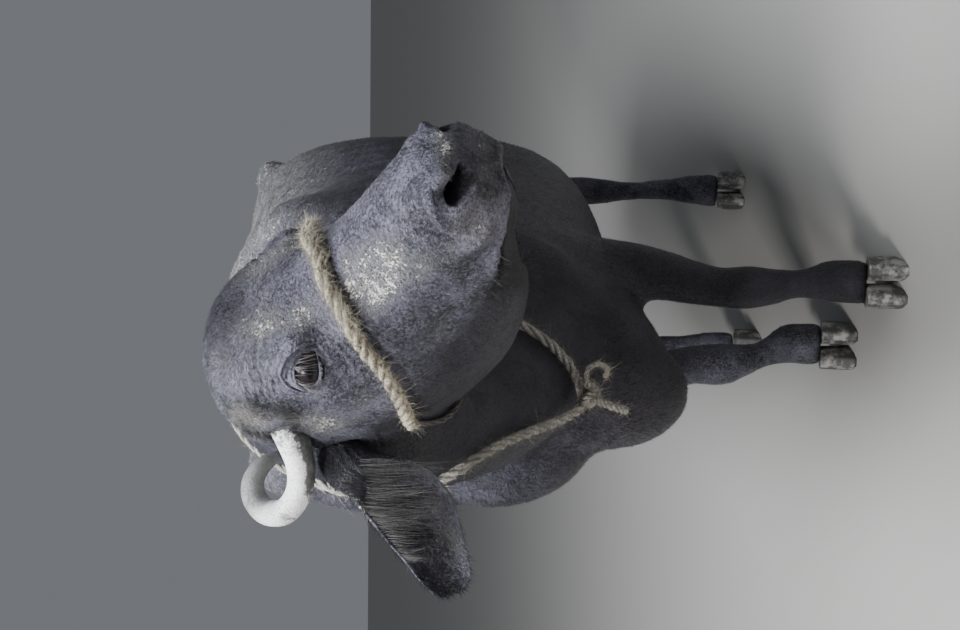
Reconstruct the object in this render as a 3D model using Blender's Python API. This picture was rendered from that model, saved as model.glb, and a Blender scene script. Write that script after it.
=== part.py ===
"""A life-size water buffalo cow, standing, with her head turned to her left.

Metres, +Z up. The animal faces -Y, her left side is +X, and the floor is z = 0.
Flesh is lofted from rings, fused, and then parted with thin cuts into head, neck, torso, legs and tail.
"""

import math
import random

import bmesh
import bpy
import numpy as np
from mathutils import Matrix, Quaternion, Vector
from mathutils.bvhtree import BVHTree

# Body, from the floor up
WITHERS = 1.27
HIP_HEIGHT = 1.262
BELLY_HEIGHT = 0.445
BRISKET_HEIGHT = 0.46
BARREL_HALF = 0.342
HIP_HALF = 0.262
CHEST_FRONT = -0.66
RUMP_END = 0.86

# Feet: where each one stands
FORE_LEFT = (0.080, -0.41)
FORE_RIGHT = (-0.075, -0.205)
HIND_LEFT = (0.215, 0.535)
HIND_RIGHT = (-0.178, 0.355)

# Head: the poll is the top of the skull, between the horns
POLL = Vector((0.045, -1.105, 1.199))
HEAD_YAW = math.radians(46)
HEAD_PITCH = math.radians(28)
HEAD_ROLL = math.radians(2)
HEAD_SCALE = 0.95
EYE = (0.162, 0.0865, -0.037)
LEFT_EAR_LIFT = 13
LEFT_EAR_SWING = 18

GAP = 0.0003
SEED = 7


def clear_scene():
    for obj in list(bpy.data.objects):
        bpy.data.objects.remove(obj, do_unlink=True)


def material(name, colour, roughness, metallic=0.0):
    made = bpy.data.materials.new(name)
    made.use_nodes = True
    shader = made.node_tree.nodes["Principled BSDF"]
    shader.inputs["Base Color"].default_value = (*colour, 1.0)
    shader.inputs["Roughness"].default_value = roughness
    shader.inputs["Metallic"].default_value = metallic
    return made


def new_object(name, bm):
    mesh = bpy.data.meshes.new(name)
    bm.normal_update()
    bm.to_mesh(mesh)
    bm.free()
    obj = bpy.data.objects.new(name, mesh)
    bpy.context.scene.collection.objects.link(obj)
    return obj


def blended(rows, along):
    """The row at a fractional place, on a smooth curve through all the rows."""
    last = len(rows) - 1
    index = min(int(along), last - 1)
    t = along - index
    before, start = rows[max(index - 1, 0)], rows[index]
    end, after = rows[index + 1], rows[min(index + 2, last)]
    if index == 0:
        before = 2 * start - end
    if index + 2 > last:
        after = 2 * end - start
    return 0.5 * (
        2 * start
        + (end - before) * t
        + (2 * before - 5 * start + 4 * end - after) * t**2
        + (3 * start - before - 3 * end + after) * t**3
    )


def loft(name, rows, side, sides=28, steps=6, facing=None):
    """A skin over rings along a path.

    A row is x, y, z, half width, reach above, reach below, power above, power below.
    The side vector is the direction of the half width. A power of 2 is an ellipse, more is boxier.
    The rings stand square to the path, or to the facing vector where one is given.
    """
    rows = np.array(rows, float)
    last = len(rows) - 1
    side = Vector(side)
    bm = bmesh.new()
    bmesh.ops.create_grid(bm, x_segments=sides, y_segments=last * steps, size=0.5)
    small = 1e-3
    for vert in bm.verts:
        turn = (vert.co.x + 0.5) * math.tau
        along = min(max((vert.co.y + 0.5) * last, 0.0), float(last))
        row = blended(rows, along)
        ahead = blended(rows, min(along + small, last))[:3]
        behind = blended(rows, max(along - small, 0.0))[:3]
        tangent = Vector(facing or ahead - behind).normalized()
        up = tangent.cross(side).normalized()
        across = up.cross(tangent).normalized()
        c, s = math.cos(turn), math.sin(turn)
        reach, power = (row[4], row[6]) if s >= 0 else (row[5], row[7])
        wide = row[3] * math.copysign(abs(c) ** (2 / power), c)
        high = reach * math.copysign(abs(s) ** (2 / power), s)
        vert.co = Vector(row[:3]) + across * wide + up * high
    bmesh.ops.remove_doubles(bm, verts=bm.verts, dist=1e-5)
    bmesh.ops.holes_fill(bm, edges=[e for e in bm.edges if e.is_boundary], sides=0)
    bmesh.ops.recalc_face_normals(bm, faces=bm.faces)
    return new_object(name, bm)


def ball(name, centre, radii, turn=(0, 0, 0)):
    bm = bmesh.new()
    bmesh.ops.create_icosphere(bm, subdivisions=4, radius=1.0)
    turned = Matrix.LocRotScale(Vector(centre), Quaternion(), None)
    for axis, angle in zip("XYZ", turn):
        turned = turned @ Matrix.Rotation(math.radians(angle), 4, axis)
    bmesh.ops.transform(bm, matrix=turned @ Matrix.Diagonal((*radii, 1.0)), verts=bm.verts)
    return new_object(name, bm)


def both_sides(name, centre, radii, turn=(0, 0, 0)):
    x, y, z = centre
    tilt, roll, yaw = turn
    return [
        ball(name + "_l", (x, y, z), radii, (tilt, roll, yaw)),
        ball(name + "_r", (-x, y, z), radii, (tilt, -roll, -yaw)),
    ]


def join(name, objects):
    bpy.ops.object.select_all(action="DESELECT")
    for obj in objects:
        obj.select_set(True)
    bpy.context.view_layer.objects.active = objects[0]
    bpy.ops.object.join()
    objects[0].name = name
    return objects[0]


def apply_modifiers(obj):
    graph = bpy.context.evaluated_depsgraph_get()
    mesh = bpy.data.meshes.new_from_object(obj.evaluated_get(graph))
    obj.modifiers.clear()
    obj.data = mesh
    return obj


def fuse(obj, voxel, passes):
    """Fuses overlapping shapes into one skin and softens where they meet."""
    remesh = obj.modifiers.new("fuse", "REMESH")
    remesh.mode = "VOXEL"
    remesh.voxel_size = voxel
    soften = obj.modifiers.new("soften", "SMOOTH")
    soften.factor = 0.5
    soften.iterations = passes
    return apply_modifiers(obj)


def torso():
    # The rings run from the chest back: x, y, widest height, half width, above, below, powers
    def ring(y, top, bottom, half, widest, top_power=2.0, low_power=2.2, x=0.0):
        return (x, y, widest, half, top - widest, widest - bottom, top_power, low_power)

    rows = [
        ring(CHEST_FRONT, 1.00, 0.56, 0.12, 0.86, 2.0, 1.7, -0.06),
        ring(-0.63, 1.15, BRISKET_HEIGHT + 0.03, 0.232, 0.93, 2.3, 1.6, -0.055),
        ring(-0.53, 1.210, BRISKET_HEIGHT + 0.01, 0.278, 0.97, 2.6, 1.6, -0.04),
        ring(-0.38, 1.26, 0.485, 0.282, 0.93, 2.2, 1.8, -0.015),
        ring(-0.22, WITHERS, 0.485, 0.288, 0.86, 2.0, 2.1),
        ring(0.00, 1.250, BELLY_HEIGHT + 0.015, 0.325, 0.82, 2.6, 2.5),
        ring(0.20, 1.245, BELLY_HEIGHT, BARREL_HALF, 0.80, 3.1, 2.7),
        ring(0.36, 1.255, BELLY_HEIGHT + 0.040, 0.332, 0.84, 3.4, 2.6),
        ring(0.50, HIP_HEIGHT, 0.60, 0.290, 0.94, 3.4),
        ring(0.64, 1.25, 0.72, 0.240, 0.98, 2.6),
        ring(0.76, 1.20, 0.80, 0.19, 1.00, 2.2),
        ring(RUMP_END, 1.08, 0.90, 0.08, 1.00, 2.0),
    ]
    parts = [loft("barrel", rows, (-1, 0, 0), facing=(0, 1, 0))]
    parts.append(ball("shoulder_r", (-0.215, -0.47, 0.97), (0.092, 0.15, 0.25), (14, -6, 0)))
    parts.append(ball("shoulder_l", (0.155, -0.45, 0.95), (0.088, 0.15, 0.25), (14, 6, 0)))
    parts.append(ball("shoulder_point_r", (-0.200, -0.600, 0.755), (0.090, 0.100, 0.145), (0, -14, 0)))
    parts.append(ball("shoulder_point_l", (0.100, -0.575, 0.765), (0.085, 0.090, 0.130), (0, 8, 0)))
    parts.append(ball("upper_arm_r", (-0.140, -0.40, 0.70), (0.070, 0.13, 0.17), (-12, -6, 0)))
    parts.append(ball("upper_arm_l", (0.112, -0.40, 0.70), (0.066, 0.13, 0.17), (-12, 4, 0)))
    parts += both_sides("hip_bone", (HIP_HALF - 0.03, 0.48, 1.212), (0.052, 0.065, 0.036), (0, 12, 0))
    parts += both_sides("pin_bone", (0.085, RUMP_END - 0.05, 1.085), (0.045, 0.055, 0.050))
    parts += both_sides("thigh", (0.150, 0.66, 0.93), (0.110, 0.185, 0.29), (-10, 7, 0))
    parts += both_sides("stifle", (0.185, 0.47, 0.73), (0.075, 0.12, 0.15), (20, 0, 0))
    parts.append(ball("udder", (0, 0.56, 0.645), (0.098, 0.125, 0.120)))
    parts.append(ball("sacrum", (0, 0.44, 1.20), (0.080, 0.20, 0.090)))
    parts.append(ball("brisket", (-0.090, -0.61, 0.592), (0.100, 0.125, 0.148), (15, 0, 0)))
    return parts


def foreleg(name, foot, knee_x, side):
    """From the elbow down: forearm, knee, cannon, fetlock and pastern, over the place of the foot."""
    fx, fy = foot
    top_x, top_y = (0.115 if side > 0 else -0.138), -0.40
    knee = (knee_x, fy * 0.75 + top_y * 0.25 - 0.015)
    rows = [
        (top_x, top_y + 0.00, 0.76, 0.060, 0.110, 0.110, 2, 2),
        (top_x * 0.95, top_y + 0.01, 0.62, 0.056, 0.088, 0.098, 2, 2),
        (top_x * 0.6 + knee[0] * 0.4, (top_y + knee[1]) / 2, 0.48, 0.052, 0.060, 0.066, 2, 2),
        (knee[0], knee[1] + 0.005, 0.345, 0.041, 0.042, 0.044, 2, 2),
        (knee[0], knee[1], 0.285, 0.047, 0.046, 0.044, 2.4, 2.2),
        (knee[0] * 0.8 + fx * 0.2, knee[1] * 0.8 + fy * 0.2, 0.238, 0.038, 0.034, 0.040, 2.2, 2),
        (knee[0] * 0.5 + fx * 0.5, knee[1] * 0.5 + fy * 0.5, 0.185, 0.031, 0.027, 0.035, 2, 2),
        (knee[0] * 0.2 + fx * 0.8, knee[1] * 0.2 + fy * 0.8, 0.145, 0.038, 0.033, 0.040, 2, 2),
        (fx, fy + 0.002, 0.115, 0.045, 0.044, 0.038, 2, 2),
        (fx, fy - 0.008, 0.083, 0.046, 0.038, 0.042, 2.2, 2.2),
        (fx, fy - 0.018, 0.030, 0.050, 0.046, 0.046, 2.4, 2.4),
    ]
    return loft(name, rows, (-1, 0, 0), sides=20)


def hind_leg(name, foot, side):
    """From the stifle down: gaskin, hock, cannon, fetlock and pastern."""
    fx, fy = foot
    top_x, top_y = 0.165 * side, 0.55
    hock = (fx * 0.8 + top_x * 0.2, fy + 0.085)
    rows = [
        (top_x, top_y - 0.01, 0.86, 0.085, 0.150, 0.165, 2, 2),
        (top_x, top_y + 0.00, 0.70, 0.075, 0.110, 0.125, 2, 2),
        (top_x * 0.7 + hock[0] * 0.3, (top_y * 0.6 + hock[1] * 0.4), 0.57, 0.053, 0.070, 0.082, 2, 2),
        (hock[0], hock[1] * 0.85 + top_y * 0.15, 0.46, 0.038, 0.044, 0.062, 2, 2),
        (hock[0], hock[1], 0.385, 0.041, 0.044, 0.048, 2.2, 2),
        (hock[0], hock[1] - 0.010, 0.330, 0.035, 0.034, 0.037, 2, 2),
        (hock[0] * 0.5 + fx * 0.5, hock[1] * 0.5 + fy * 0.5, 0.250, 0.028, 0.028, 0.032, 2, 2),
        (fx, hock[1] * 0.25 + fy * 0.75, 0.170, 0.033, 0.031, 0.036, 2, 2),
        (fx, fy + 0.008, 0.125, 0.042, 0.043, 0.037, 2, 2),
        (fx, fy - 0.006, 0.086, 0.044, 0.037, 0.041, 2.2, 2.2),
        (fx, fy - 0.018, 0.030, 0.048, 0.046, 0.046, 2.4, 2.4),
    ]
    return loft(name, rows, (-1, 0, 0), sides=20)


def head_matrix():
    """Head frame to row frame: x forward along the face, y to her left, z up off the nose."""
    cy, sy = math.cos(HEAD_YAW), math.sin(HEAD_YAW)
    cp, sp = math.cos(HEAD_PITCH), math.sin(HEAD_PITCH)
    forward = Vector((sy * cp, -cy * cp, -sp))
    left = Vector((cy, sy, 0.0))
    up = forward.cross(left)
    cr, sr = math.cos(HEAD_ROLL), math.sin(HEAD_ROLL)
    left, up = left * cr + up * sr, up * cr - left * sr
    turned = Matrix((forward, left, up)).transposed().to_4x4()
    return Matrix.Translation(POLL) @ turned @ Matrix.Scale(HEAD_SCALE, 4)


def neck():
    # From the shoulders to the nape: it swings to her right before the head turns left
    rows = [
        (0.00, -0.36, 0.88, 0.190, 0.33, 0.36, 1.8, 2.2),
        (-0.025, -0.56, 0.88, 0.178, 0.300, 0.37, 1.8, 1.9),
        (-0.052, -0.74, 0.92, 0.150, 0.235, 0.33, 1.9, 1.9),
        (-0.055, -0.88, 0.98, 0.124, 0.185, 0.25, 2, 2),
        (-0.030, -1.01, 1.03, 0.100, 0.140, 0.18, 2, 2),
        (0.020, -1.09, 1.05, 0.086, 0.11, 0.13, 2, 2),
    ]
    return loft("neck", rows, (-1, 0, 0))


def head():
    # Rings from nape to lip: s, top, bottom, half width, widest height, powers
    def ring(s, top, bottom, half, widest, top_power=2.3, low_power=2.0):
        return (s, 0, widest, half, top - widest, widest - bottom, top_power, low_power)

    rows = [
        ring(-0.060, -0.050, -0.19, 0.060, -0.10),
        ring(-0.025, 0.005, -0.245, 0.092, -0.09, 2.3, 1.9),
        ring(0.025, 0.042, -0.285, 0.108, -0.06, 2.3, 1.9),
        ring(0.075, 0.052, -0.305, 0.116, -0.05, 2.4, 1.9),
        ring(0.130, 0.045, -0.315, 0.113, -0.05, 2.4, 1.9),
        ring(0.180, 0.026, -0.318, 0.107, -0.06, 2.3, 1.9),
        ring(0.230, 0.006, -0.312, 0.096, -0.085, 2.0, 1.9),
        ring(0.290, -0.003, -0.290, 0.083, -0.090, 2.0, 1.9),
        ring(0.350, -0.006, -0.252, 0.074, -0.085, 2.0, 2.0),
        ring(0.405, -0.008, -0.200, 0.069, -0.078, 2.1, 2.2),
        ring(0.448, -0.016, -0.168, 0.069, -0.068, 2.3, 2.4),
        ring(0.474, -0.031, -0.150, 0.064, -0.070, 2.5, 2.4),
        ring(0.492, -0.056, -0.128, 0.049, -0.082, 2.4, 2.2),
    ]
    parts = [loft("skull", rows, (0, 1, 0), facing=(1, 0, 0))]
    parts += both_sides_head("brow", (0.152, 0.079, -0.014), (0.060, 0.029, 0.032))
    parts += both_sides_head("eye_ball", (0.163, 0.086, -0.040), (0.036, 0.029, 0.030))
    parts += both_sides_head("nostril_wing", (0.448, 0.040, -0.046), (0.040, 0.026, 0.031))
    return parts


def both_sides_head(name, centre, radii):
    x, y, z = centre
    return [ball(name + "_l", (x, y, z), radii), ball(name + "_r", (x, -y, z), radii)]


def thin_out(obj, triangles):
    """Thins a dense skin to about this many triangles, keeping more where it bends more."""
    obj.data.calc_loop_triangles()
    thin = obj.modifiers.new("thin", "DECIMATE")
    thin.ratio = triangles / len(obj.data.loop_triangles)
    thin.use_collapse_triangulate = True
    return apply_modifiers(obj)


def boolean(obj, tool, operation, keep_tool=False):
    change = obj.modifiers.new("cut", "BOOLEAN")
    change.operation = operation
    change.solver = "EXACT"
    change.object = tool
    apply_modifiers(obj)
    if not keep_tool:
        bpy.data.objects.remove(tool, do_unlink=True)
    return keep_largest(obj)


def keep_largest(obj):
    """Drops everything but the biggest closed surface, and welds what lies within a hair."""
    bm = bmesh.new()
    bm.from_mesh(obj.data)
    bmesh.ops.remove_doubles(bm, verts=bm.verts, dist=1e-6)
    left = set(bm.verts)
    groups = []
    while left:
        stack = [left.pop()]
        group = list(stack)
        while stack:
            for edge in stack.pop().link_edges:
                for vert in edge.verts:
                    if vert in left:
                        left.discard(vert)
                        stack.append(vert)
                        group.append(vert)
        groups.append(group)
    groups.sort(key=len)
    for group in groups[:-1]:
        bmesh.ops.delete(bm, geom=group, context="VERTS")
    bmesh.ops.triangulate(bm, faces=bm.faces)
    bm.to_mesh(obj.data)
    bm.free()
    return obj


def slice_off(obj, point, normal, gap=GAP / 2):
    """Cuts away everything on the side the normal points to, a hair short of the plane."""
    bm = bmesh.new()
    bm.from_mesh(obj.data)
    place = Vector(point) - Vector(normal).normalized() * gap
    bmesh.ops.bisect_plane(
        bm, geom=bm.verts[:] + bm.edges[:] + bm.faces[:], dist=1e-6,
        plane_co=place, plane_no=normal, clear_outer=True,
    )
    bmesh.ops.holes_fill(bm, edges=[e for e in bm.edges if e.is_boundary], sides=0)
    bmesh.ops.triangulate(bm, faces=bm.faces)
    bm.to_mesh(obj.data)
    bm.free()
    return keep_largest(obj)


def copy_of(obj, name):
    twin = obj.copy()
    twin.data = obj.data.copy()
    twin.name = name
    bpy.context.scene.collection.objects.link(twin)
    return twin


def hull(name, points):
    bm = bmesh.new()
    for point in points:
        bm.verts.new(point)
    bmesh.ops.convex_hull(bm, input=bm.verts)
    bmesh.ops.recalc_face_normals(bm, faces=bm.faces)
    return new_object(name, bm)


def block(name, low, high, lean, back, grow=0.0):
    """A box whose front and back faces lean by these much at the top."""
    (x0, y0, z0), (x1, y1, z1) = low, high
    g = grow
    points = []
    for x in (x0 - g, x1 + g):
        points += [(x, y0 - g, z0), (x, y1 + g, z0)]
        points += [(x, y0 + lean - g, z1 + g), (x, y1 + back + g, z1 + g)]
    return hull(name, points)


def tube(name, points, radii, sides=10, steps=3, closed=False, flat=1.0):
    """A round bar along a smooth path; the ends are flat."""
    rows = np.array([(*p, r) for p, r in zip(points, radii)], float)
    if closed:
        rows = np.vstack([rows, rows[:1]])
    last = len(rows) - 1
    count = last * steps
    bm = bmesh.new()
    rings = []
    up = Vector((0.13, 0.21, 0.97))
    for k in range(count + (0 if closed else 1)):
        along = k / steps
        row = path_row(rows, along, closed)
        ahead = path_row(rows, along + 0.02, closed)[:3]
        behind = path_row(rows, along - 0.02, closed)[:3]
        tangent = Vector(ahead - behind).normalized()
        across = tangent.cross(up).normalized()
        up = across.cross(tangent).normalized()
        ring = []
        for n in range(sides):
            turn = math.tau * n / sides
            offset = across * math.cos(turn) + up * math.sin(turn) * flat
            ring.append(bm.verts.new(Vector(row[:3]) + offset * row[3]))
        rings.append(ring)
    pairs = list(zip(rings, rings[1:]))
    if closed:
        shift = min(range(sides), key=lambda m: (rings[0][m].co - rings[-1][0].co).length)
        pairs.append((rings[-1], rings[0][shift:] + rings[0][:shift]))
    for one, two in pairs:
        for n in range(sides):
            m = (n + 1) % sides
            bm.faces.new((one[n], one[m], two[m], two[n]))
    if not closed:
        bm.faces.new(rings[0][::-1])
        bm.faces.new(rings[-1])
    bmesh.ops.recalc_face_normals(bm, faces=bm.faces)
    bmesh.ops.triangulate(bm, faces=bm.faces)
    return new_object(name, bm)


def path_row(rows, along, closed):
    last = len(rows) - 1
    if not closed:
        return blended(rows, min(max(along, 0.0), float(last)))
    looped = np.vstack([rows[-3:-1], rows, rows[1:3]])
    return blended(looped, along % last + 2)


def grown(obj, amount):
    """A copy with every point pushed out, to cut a pocket with a gap round the original."""
    twin = copy_of(obj, "grown")
    normals = [vert.normal.copy() for vert in twin.data.vertices]
    for vert, normal in zip(twin.data.vertices, normals):
        vert.co += normal * amount
    return twin


def pocket(body, insert, gap=GAP * 1.5):
    boolean(body, grown(insert, gap), "DIFFERENCE")


def ear(name, side):
    """A cupped blade between an upper and a lower rim, on a stalk sunk in the head."""
    upper = [
        (0.010, 0.085, -0.120), (0.002, 0.138, -0.150), (-0.002, 0.153, -0.186), (-0.010, 0.166, -0.207),
        (-0.018, 0.181, -0.231), (-0.028, 0.198, -0.258), (-0.037, 0.215, -0.286), (-0.047, 0.233, -0.313),
        (-0.052, 0.245, -0.335), (-0.052, 0.251, -0.350),
    ]
    lower = [
        (0.030, 0.075, -0.165), (0.052, 0.112, -0.190), (0.068, 0.124, -0.232), (0.072, 0.140, -0.268),
        (0.058, 0.160, -0.302), (0.034, 0.181, -0.330), (0.011, 0.201, -0.352), (-0.010, 0.219, -0.371),
        (-0.034, 0.233, -0.382), (-0.050, 0.242, -0.372),
    ]
    cup = [0.022, 0.026, 0.032, 0.034, 0.032, 0.028, 0.022, 0.016, 0.010, 0.006]
    hollow = [-0.022, -0.018, 0.004, 0.024, 0.024, 0.021, 0.016, 0.011, 0.006, 0.002]
    if side > 0:
        swing = Matrix.Rotation(math.radians(-LEFT_EAR_SWING), 3, "Z")
        lift = Matrix.Rotation(math.radians(LEFT_EAR_LIFT), 3, "X") @ swing
        hinge = Vector((0.010, 0.090, -0.140))
        upper = [tuple(hinge + lift @ (Vector(p) - hinge)) for p in upper]
        lower = [tuple(hinge + lift @ (Vector(p) - hinge)) for p in lower]
    bm = bmesh.new()
    rings = []
    back = Vector((-0.75, -0.50, -0.30)).normalized()
    back.y = abs(back.y) * -1
    spread = 7
    for up, low, deep, inner in zip(upper, lower, cup, hollow):
        up = Vector(up)
        low = Vector(low)
        ring = []
        for reach in (deep, inner):
            turns = range(spread) if reach == deep else range(spread - 1, -1, -1)
            for n in turns:
                v = n / (spread - 1)
                bulge = (1 - (2 * v - 1) ** 2) ** 0.7
                rim = 0.0022 if reach == inner else 0.0
                ring.append(bm.verts.new(up.lerp(low, v) + back * (reach * bulge - rim)))
        rings.append(ring)
    sides = len(rings[0])
    for one, two in zip(rings, rings[1:]):
        for n in range(sides):
            m = (n + 1) % sides
            bm.faces.new((one[n], one[m], two[m], two[n]))
    bm.faces.new(rings[0][::-1])
    bm.faces.new(rings[-1])
    for vert in bm.verts:
        vert.co.y *= side
    bmesh.ops.recalc_face_normals(bm, faces=bm.faces)
    bmesh.ops.triangulate(bm, faces=bm.faces)
    made = new_object(name, bm)
    locks = ear_locks(upper, lower, back, side)
    made = unite(name, made, locks)
    made.data.transform(head_matrix())
    return made


def ear_locks(upper, lower, back, side):
    """Long hair rooted inside the upper rim, hanging across the cup."""
    rng = random.Random(SEED + 2 + side)
    down = head_matrix().inverted().to_3x3() @ Vector((0, 0, -1))
    down = down.normalized()
    mirror = Vector((1, side, 1))
    front = -back * mirror
    count = 8
    locks = []
    for n in range(count):
        spot = 1.15 + 4.1 * n / (count - 1)
        k = int(spot)
        rim = Vector(upper[k]).lerp(Vector(upper[k + 1]), spot - k)
        floor = Vector(lower[k]).lerp(Vector(lower[k + 1]), spot - k)
        root = rim.lerp(floor, 0.07) * mirror
        along = (Vector(upper[k + 1]) - Vector(upper[k])) * mirror
        length = (0.118 - 0.058 * n / (count - 1)) * rng.uniform(0.85, 1.1)
        sway = rng.uniform(-0.05, 0.12)
        points = [root - front * 0.012, root + front * 0.009 - down * 0.002]
        for share in (0.35, 0.7, 1.0):
            bend = front * (0.012 + 0.005 * math.sin(share * 3))
            bend += along.normalized() * (sway * length * share)
            points.append(root + bend + down * (length * share))
        locks.append(lock("lock", points, 0.020, along, 0.0036))
    return locks


def horn(name, side):
    path = [
        (0.040, 0.066, -0.048), (0.023, 0.104, -0.085), (0.007, 0.130, -0.108), (-0.018, 0.152, -0.118),
        (-0.048, 0.166, -0.113), (-0.069, 0.162, -0.095), (-0.072, 0.143, -0.077), (-0.064, 0.122, -0.071),
        (-0.054, 0.106, -0.077), (-0.046, 0.093, -0.088),
    ]
    radii = [0.0255, 0.0240, 0.0220, 0.0205, 0.0190, 0.0170, 0.0145, 0.0115, 0.0080, 0.0045]
    made = tube(name, [(x, y * side, z) for x, y, z in path], radii, sides=10, steps=2)
    made.data.transform(head_matrix())
    return made


def claw(name, foot, side):
    fx, fy = foot
    x = fx + side * 0.0265
    rows = [
        (x, fy - 0.012, 0.110, 0.0225, 0.040, 0.040, 2.4, 2.2),
        (x, fy - 0.016, 0.060, 0.0235, 0.042, 0.046, 2.6, 2.2),
        (x, fy - 0.022, 0.020, 0.0240, 0.044, 0.056, 2.8, 2.2),
        (x, fy - 0.026, 0.000, 0.0235, 0.045, 0.060, 2.8, 2.2),
    ]
    made = loft(name, rows, (-1, 0, 0), sides=10, steps=1, facing=(0, 0, -1))
    return slice_off(made, (fx, fy - 0.055, 0.066), (0, 0.34, 1))


def dewclaw(name, foot, side):
    fx, fy = foot
    x = fx + side * 0.021
    points = [(x, fy + 0.030, 0.118), (x, fy + 0.046, 0.112), (x * 1.0, fy + 0.056, 0.094)]
    return tube(name, points, [0.012, 0.011, 0.006], sides=7, steps=1)


def lock(name, points, width, across, thick=0.004):
    """One flat, tapered lock of long hair, from a sunk root to a narrow tip."""
    bm = bmesh.new()
    rings = []
    last = len(points) - 1
    across = Vector(across).normalized()
    for n, point in enumerate(points):
        share = n / last
        wide = width * (1 - 0.85 * share**1.5) / 2
        deep = thick * (1 - 0.6 * share) / 2
        ahead = Vector(points[min(n + 1, last)]) - Vector(points[max(n - 1, 0)])
        out = ahead.cross(across).normalized()
        point = Vector(point)
        corners = (across * wide, out * deep, -across * wide, -out * deep)
        rings.append([bm.verts.new(point + corner) for corner in corners])
    for one, two in zip(rings, rings[1:]):
        for n in range(4):
            m = (n + 1) % 4
            bm.faces.new((one[n], one[m], two[m], two[n]))
    bm.faces.new(rings[0][::-1])
    bm.faces.new(rings[-1])
    bmesh.ops.recalc_face_normals(bm, faces=bm.faces)
    bmesh.ops.triangulate(bm, faces=bm.faces)
    return new_object(name, bm)


def unite(name, core, others):
    """Joins overlapping solids into one closed surface."""
    group = bpy.data.collections.new("joining")
    bpy.context.scene.collection.children.link(group)
    for obj in others:
        bpy.context.scene.collection.objects.unlink(obj)
        group.objects.link(obj)
    merge = core.modifiers.new("unite", "BOOLEAN")
    merge.operation = "UNION"
    merge.solver = "EXACT"
    merge.operand_type = "COLLECTION"
    merge.collection = group
    apply_modifiers(core)
    for obj in list(group.objects):
        bpy.data.objects.remove(obj, do_unlink=True)
    bpy.data.collections.remove(group)
    core.name = name
    return keep_largest(core)


def tail():
    """The dock hangs straight down; its end carries a switch of tapered locks."""
    rng = random.Random(SEED)
    points = [
        (0, 0.80, 1.175), (0, 0.872, 1.150), (0, 0.908, 1.08), (0, 0.920, 0.95),
        (0, 0.920, 0.78), (0.002, 0.918, 0.62), (0.004, 0.918, 0.45), (0.004, 0.918, 0.38),
    ]
    radii = [0.030, 0.030, 0.026, 0.021, 0.017, 0.014, 0.011, 0.006]
    whole = tube("tail", points, radii, sides=9, steps=2)
    switch = copy_of(whole, "tail_switch")
    slice_off(whole, (0, 0.918, 0.54), (0, 0, -1))
    slice_off(switch, (0, 0.918, 0.54), (0, 0, 1))
    locks = []
    count = 9
    for n in range(count):
        turn = math.tau * (n * 2 / count) + rng.uniform(-0.2, 0.2)
        out = Vector((math.cos(turn), math.sin(turn), 0))
        start = Vector((0.004, 0.918, 0.520 - 0.010 * n))
        length = 0.22 + rng.uniform(-0.03, 0.03) - 0.004 * n
        points = [start - Vector((0, 0, -0.004))]
        for share in (0.33, 0.7, 1.0):
            flare = 0.010 + 0.013 * math.sin(share * 2.6)
            points.append(start + out * flare + Vector((0, 0, -length * share)))
        locks.append(lock("lock", points, 0.026, out.cross(Vector((0, 0, 1))), 0.007))
    unite("tail_switch", switch, locks)
    return whole


def eye(name, side):
    made = ball(name, (EYE[0], EYE[1] * side, EYE[2]), (0.0255, 0.0255, 0.0255))
    thin_out(made, 170)
    made.data.transform(head_matrix())
    return made


def lid_opening(side):
    """An almond prism that opens the lids over the eye."""
    out = Vector((0.50, 0.84 * side, 0.16)).normalized()
    along = Vector((0.90, 0, 0.42))
    along = (along - out * along.dot(out)).normalized()
    high = along.cross(out).normalized()
    if high.z < 0:
        high = -high
    centre = Vector((EYE[0], EYE[1] * side, EYE[2]))
    bm = bmesh.new()
    for reach in (0.010, 0.045):
        for n in range(20):
            turn = math.tau * n / 20
            u = 0.0225 * math.cos(turn)
            v = (0.0160 if math.sin(turn) > 0 else 0.0135) * math.sin(turn) * abs(math.sin(turn)) ** 0.25
            bm.verts.new(centre + out * reach + along * u * (1 + reach * 4) + high * v * (1 + reach * 4))
    bmesh.ops.convex_hull(bm, input=bm.verts)
    bmesh.ops.recalc_face_normals(bm, faces=bm.faces)
    made = new_object("lid_opening", bm)
    made.data.transform(head_matrix())
    return made


def nostril(side):
    bm = bmesh.new()
    bmesh.ops.create_icosphere(bm, subdivisions=3, radius=1.0)
    along = Vector((0.50, -0.80 * side, -0.28)).normalized()
    inward = Vector((-0.85, -0.45 * side, 0.10)).normalized()
    inward = (inward - along * inward.dot(along)).normalized()
    high = along.cross(inward)
    turned = Matrix((along * 0.021, high * 0.0095, inward * 0.030)).transposed().to_4x4()
    turned.translation = Vector((0.476, 0.047 * side, -0.049))
    bmesh.ops.transform(bm, matrix=turned, verts=bm.verts)
    bmesh.ops.recalc_face_normals(bm, faces=bm.faces)
    made = new_object("nostril", bm)
    made.data.transform(head_matrix())
    return made


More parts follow.
